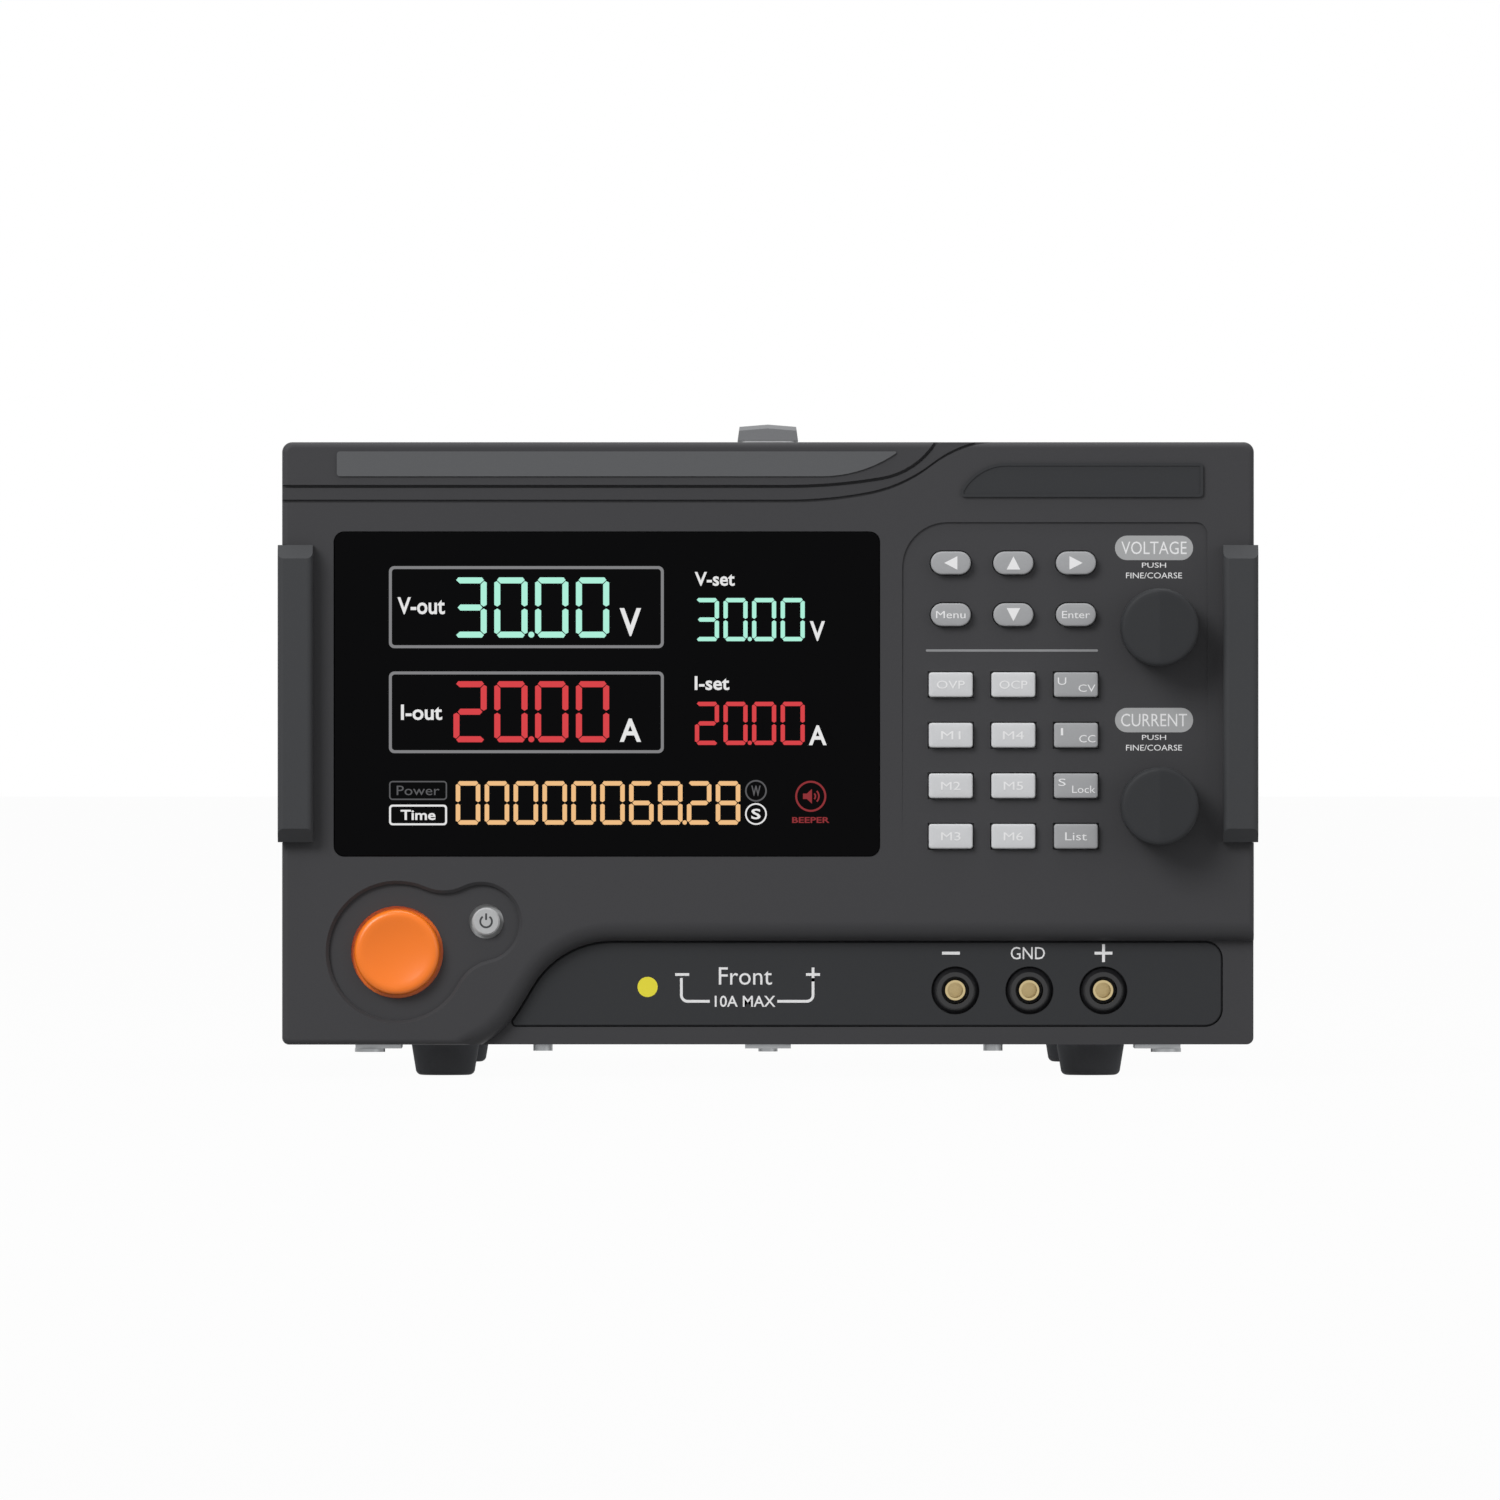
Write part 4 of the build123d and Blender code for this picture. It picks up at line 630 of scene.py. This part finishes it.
def keypadDepth(z):  # the recess runs from its full depth at the top to nothing at its bottom edge
    recess = printing["recess"]
    bottom = bezelHigh[2] - recess["drop"] - recess["height"]
    return recess["depth"] * min(max((z - bottom) / recess["height"], 0), 1)


def printPiece(name, shape, x, y, z, material):  # a thin plate of ink on the surface at depth y
    return meshObject(name, *moved(shape, x, y - printing["ink"] / 2, z), material, "case", "bezel_plastic")


ink, x = printing["ink"], printing["pillX"]
for row, (text, width, z) in enumerate(printing["pills"]):
    level = frontFace + keypadDepth(z)
    pillWidth, pillHeight = printing["pillSize"]
    outline = roundedOutline(pillWidth, pillHeight, pillHeight / 2 - 0.02, 10)
    printPiece("pill_%d" % row, plateShape([outline], -ink / 2, ink / 2), x, level, z, inkPill)
    letters = textShape(text, width, printing["pillLetters"], ink)
    printPiece("pill_word_%d" % row, letters, x, level - ink, z, inkWhite)
    for number, (words, wide, tall, drop) in enumerate(printing["small"]):
        level = frontFace + keypadDepth(z + drop)
        letters = textShape(words, wide, tall, ink)
        printPiece("small_word_%d_%d" % (row, number), letters, x, level, z + drop, inkWhite)
left, right, level, stroke = printing["line"]
bar = plateShape([roundedOutline(right - left, stroke, stroke / 2 - 0.01, 4)], -ink / 2, ink / 2)
printPiece("keypad_line", bar, (left + right) / 2, frontFace + keypadDepth(level), level, inkGrey)
for text, x, z, width, height in printing["marks"]:
    printPiece("word_ground", textShape(text, width, height, ink), x, panelLow[1], z, inkWhite)


def signShape(plus, reach, stroke):
    if plus:  # one arm, turned by a quarter at a time
        arm = np.array([[stroke, -stroke], [reach, -stroke], [reach, stroke]]) / 2
        turns = [np.array([[0, 1], [-1, 0]]), -np.eye(2), np.array([[0, -1], [1, 0]])]
        outline = np.concatenate([arm] + [arm @ turn for turn in turns])
    else:
        outline = np.array([[-reach, stroke], [-reach, -stroke], [reach, -stroke], [reach, stroke]]) / 2
    return plateShape([outline], -ink / 2, ink / 2)


for x, z, plus in printing["signs"]:
    shape = signShape(plus, *printing["sign"])
    printPiece("sign_plus" if plus else "sign_minus", shape, x, panelLow[1], z, inkWhite)
text, x, z, width, height = printing["front"]
printPiece("word_front", textShape(text, width, height, ink), x, panelLow[1], z, inkWhite)
text, x, z, width, height = printing["rating"]
printPiece("word_rating", textShape(text, width, height, ink, 0.01), x, panelLow[1], z, inkWhite)


def bracketShape(side, bracket):  # an upright leg that turns by a quarter circle into a level line
    leg = bracket["left"] if side < 0 else bracket["right"]
    end = bracket["gapLeft"] if side < 0 else bracket["gapRight"]
    radius, half = bracket["radius"], bracket["stroke"] / 2
    angle = np.radians(np.linspace(180, 270, 8))
    centre = np.array([leg - side * radius, bracket["floor"] + radius])
    turn = np.column_stack([side * np.abs(np.cos(angle)), np.sin(angle)])
    edges = []
    for out in (half, -half):
        start, stop = [leg + side * out, bracket["top"]], [end, bracket["floor"] - out]
        edges.append(np.concatenate([[start], centre + (radius + out) * turn, [stop]]))
    return plateShape([np.concatenate([edges[0], edges[1][::-1]])], -ink / 2, ink / 2)


bracket = printing["bracket"]
printPiece("bracket_left", bracketShape(-1, bracket), 0, panelLow[1], 0, inkWhite)
printPiece("bracket_right", bracketShape(1, bracket), 0, panelLow[1], 0, inkWhite)
for name, x, plus in printing["smallSigns"]:
    shape = signShape(plus, *printing["smallSign"])
    printPiece(name, shape, x, panelLow[1], printing["smallSignZ"], inkWhite)
x, z, radius = printing["marker"]
disc = plateShape([roundOutline(radius)], -ink / 2, ink / 2)
printPiece("round_marker", disc, x, panelLow[1], z, inkYellow)
print("printing made")


# Knobs and buttons

knob = {
    "radius": 10.0, "ridge": 1.1, "rim": 1.1, "wall": 1.6, "shaft": 3.0,
    "gap": 1.0,  # between the knob's back edge and the moulding
    "hollow": 6.0,  # depth of the hollow in the back
    "shoulder": 3.0,  # where the plain wall starts behind the face
    "fade": 6.0,  # length over which the ridge runs out
}


def knobPiece(name):
    # rings turned round the axis; in front, depth grows with the distance from the upright ridge:
    # y = front + ridge |x| / radius
    low, high = cornersOf(name + "_knob")
    centre = middleOf(name + "_knob")
    front, back = low[1], frontFace - knob["gap"]
    radius, rim, hollow = knob["radius"], knob["rim"], back - knob["hollow"]
    face, inside = radius - rim, radius - knob["wall"]
    profile = [[r, front] for r in np.linspace(0, face, 10)]
    profile += roundCorner((face, front + rim), rim, -90, 0)[1:]
    profile += [[radius, front + knob["shoulder"]], [radius, back], [inside, back], [inside, hollow]]
    profile += [[knob["shaft"], hollow], [knob["shaft"], high[1]], [0, high[1]]]
    points, faces = latheShape(profile, (centre[0], centre[2]), 96)
    slope = knob["ridge"] * np.abs(points[:, 0] - centre[0]) / radius
    fade = np.clip(1 - (points[:, 1] - front - rim) / knob["fade"], 0, 1) * (points[:, 1] < hollow - 0.5)
    points[:, 1] += slope * fade
    node, slotName = name + "_knob", "knob_plastic"
    return meshObject(node + "_cap", points, faces, materials[slotName], node, slotName, (node,), 40)


for name in ("voltage", "current"):
    knobPiece(name)

button = {
    "radius": 11.0, "rim": 1.5, "dish": 1.1, "lip": 0.5,
    "flange": (5.2, 6.4),  # front and back of the flange behind the face
    "stem": 4.0,
}


def outputButton():
    # lathe profile: hollow face as a shallow ball cap, rolled rim, straight wall, flange, stem
    low, high = cornersOf("output_button")
    centre = middleOf("output_button")
    front, back = low[1], high[1]
    radius, rim, stem, reach = button["radius"], button["rim"], button["stem"], high[0] - centre[0]
    inner = radius - rim - button["lip"]
    flangeFront, flangeBack = [front + depth for depth in button["flange"]]
    profile = [[r, front + button["dish"] * (1 - (r / inner) ** 2)] for r in np.linspace(0, inner, 9)]
    profile += roundCorner((radius - rim, front + rim), rim, -90, 0, 8)
    profile += [[radius, flangeFront], [reach, flangeFront], [reach, flangeBack]]
    profile += [[stem, flangeBack], [stem, back], [0, back]]
    shape = latheShape(profile, (centre[0], centre[2]), 96)
    node, slotName = "output_button", "button_orange"
    return meshObject(node + "_cap", *shape, materials[slotName], node, slotName, (node,), 40)


outputButton()
symbol = {"outer": 1.75, "inner": 1.25, "bar": (0.25, 0.4, 2.1), "half": 0.02}
powerLow, _ = cornersOf("power_key")
powerMiddle = middleOf("power_key")
turn = np.radians(np.linspace(125, 415, 30))
arc = np.column_stack([np.cos(turn), np.sin(turn)])
side, bottom, top = symbol["bar"]
outlines = [
    np.concatenate([symbol["outer"] * arc, symbol["inner"] * arc[::-1]]),
    np.array([[-side, bottom], [side, bottom], [side, top], [-side, top]]),
]
shape = plateShape(outlines, -symbol["half"], symbol["half"])
shape = moved(shape, powerMiddle[0], powerLow[1], powerMiddle[2])
meshObject("power_symbol", *shape, inkDark, "power_key", "power_key_plastic")
print("knobs and buttons made")


# Feet

feet = {"round": 1.6, "top": 8.8, "bottom": 7.7, "height": 8.3}
footLow, footHigh = cornersOf("feet")
footShapes = []
for x in (footLow[0] + feet["top"], footHigh[0] - feet["top"]):
    for y in (footLow[1] + feet["top"], footHigh[1] - feet["top"]):
        profile = [[0, 0], [feet["bottom"] - feet["round"], 0]]
        profile += roundCorner((feet["bottom"] - feet["round"], feet["round"]), feet["round"], -90, 0)[1:]
        profile += [[feet["top"], feet["height"]], [0, feet["height"]]]
        points, faces = latheShape(profile, (0, 0), 48)
        points = np.column_stack([points[:, 0] + x, points[:, 2] + y, points[:, 1]])
        footShapes.append((points, faces))
shape = joined(footShapes)
meshObject("feet_rounded", *shape, materials["foot_rubber"], "case", "foot_rubber", ("feet",), 40)


# The rest keep their CAD shapes

madeHere = {"feet", "output_button", "voltage_knob", "current_knob"}
madeHere |= {node for node in frame["nodes"] if node.startswith("key_")}
plain = {"power_board", "transformer", "heatsinks", "inlet_pins", "display_window"}
for node in sorted(set(frame["nodes"]) - madeHere - plain):
    smoothCopy(node)
print("smooth copies made")


# Floor, light and camera

def stagePlane(name, corners, material):
    mesh = bpy.data.meshes.new(name)
    mesh.from_pydata(corners, [], [(0, 1, 2, 3)])
    mesh.materials.append(material)
    piece = bpy.data.objects.new(name, mesh)
    bpy.context.scene.collection.objects.link(piece)
    return piece


studio = {
    "seen": 0.97,  # share of plain white in the floor as the camera gets it; the rest keeps the shadow
    "sky": 0.5,
    "keyLight": {"place": (-1.5, -2.4, 1.7), "size": 1.4, "power": 62},
    "topLight": {"place": (0.2, 0.0, 2.4), "size": 1.6, "power": 32},
    "fillLight": {"place": (2.2, -2.0, 0.8), "size": 1.6, "power": 7},
}


def seenDirectly(owner):  # 1 to the camera, to mirrors and through glass, 0 as light on a surface
    path = addNode(owner, "ShaderNodeLightPath")
    camera, glossy = path.outputs["Is Camera Ray"], path.outputs["Is Glossy Ray"]
    seen = addNode(owner, "ShaderNodeMath", {0: camera, 1: glossy}, operation="MAXIMUM")
    through = path.outputs["Is Transmission Ray"]
    return addNode(owner, "ShaderNodeMath", {0: seen.outputs[0], 1: through}, operation="MAXIMUM")


def floorMaterial():  # painted floor: white to the camera and to mirrors, with the shadow kept
    material, shader = surfaceMaterial("paintedFloorGrey", "#8A8A8A", 0.9, specular=0.1)
    seen = seenDirectly(material).outputs[0]
    share = addNode(material, "ShaderNodeMath", {0: seen, 1: studio["seen"]}, operation="MULTIPLY")
    white = addNode(material, "ShaderNodeEmission", {"Color": (1, 1, 1, 1), "Strength": 1.0})
    mixed = addNode(material, "ShaderNodeMixShader", {"Fac": share.outputs[0]})
    surface = material.node_tree.nodes["Material Output"].inputs["Surface"]
    for source, target in ((shader, mixed.inputs[1]), (white, mixed.inputs[2]), (mixed, surface)):
        material.node_tree.links.new(source.outputs[0], target)
    return material


def makeWorld():  # white where it is seen or mirrored, a softer grey as light
    world = bpy.data.worlds.new("studioWorld")
    bpy.context.scene.world = world
    world.use_nodes = True
    back = world.node_tree.nodes["Background"]
    values = {"Value": seenDirectly(world).outputs[0], "To Min": studio["sky"], "To Max": 1.0}
    level = addNode(world, "ShaderNodeMapRange", values)
    back.inputs["Color"].default_value = (1, 1, 1, 1)
    world.node_tree.links.new(level.outputs[0], back.inputs["Strength"])


def areaLight(name, settings, target=(0, -0.05, 0.09)):
    lamp = bpy.data.lights.new(name, "AREA")
    lamp.energy = settings["power"]
    lamp.size = settings["size"]
    light = bpy.data.objects.new(name, lamp)
    place = np.array(settings["place"])
    light.location = place
    aim = bpy.data.objects.new(name + "Aim", None)
    aim.location = target
    bpy.context.scene.collection.objects.link(light)
    bpy.context.scene.collection.objects.link(aim)
    follow = light.constraints.new("TRACK_TO")
    follow.target, follow.track_axis, follow.up_axis = aim, "TRACK_NEGATIVE_Z", "UP_Y"


stagePlane("floor", [(-30, -30, 0), (30, -30, 0), (30, 30, 0), (-30, 30, 0)], floorMaterial())
makeWorld()
for name in ("keyLight", "topLight", "fillLight"):
    areaLight(name, studio[name])

photo = {"size": 1500, "perMillimetre": 3.888, "axisX": 768, "floorY": 1077, "distance": 5.0}
cameraData = bpy.data.cameras.new("camera")
camera = bpy.data.objects.new("camera", cameraData)
bpy.context.scene.collection.objects.link(camera)
viewWidth = photo["size"] / photo["perMillimetre"] / 1000
across = (photo["size"] / 2 - photo["axisX"]) / photo["perMillimetre"] / 1000
upright = (photo["floorY"] - photo["size"] / 2) / photo["perMillimetre"] / 1000
camera.location = (across, frontFace / 1000 - photo["distance"], upright)
camera.rotation_euler = (math.radians(90), 0, 0)
cameraData.sensor_width = 36
cameraData.lens = 36 * photo["distance"] / viewWidth
cameraData.clip_end = 100
bpy.context.scene.camera = camera
bpy.context.scene.view_settings.view_transform = "Standard"
print("stage made")
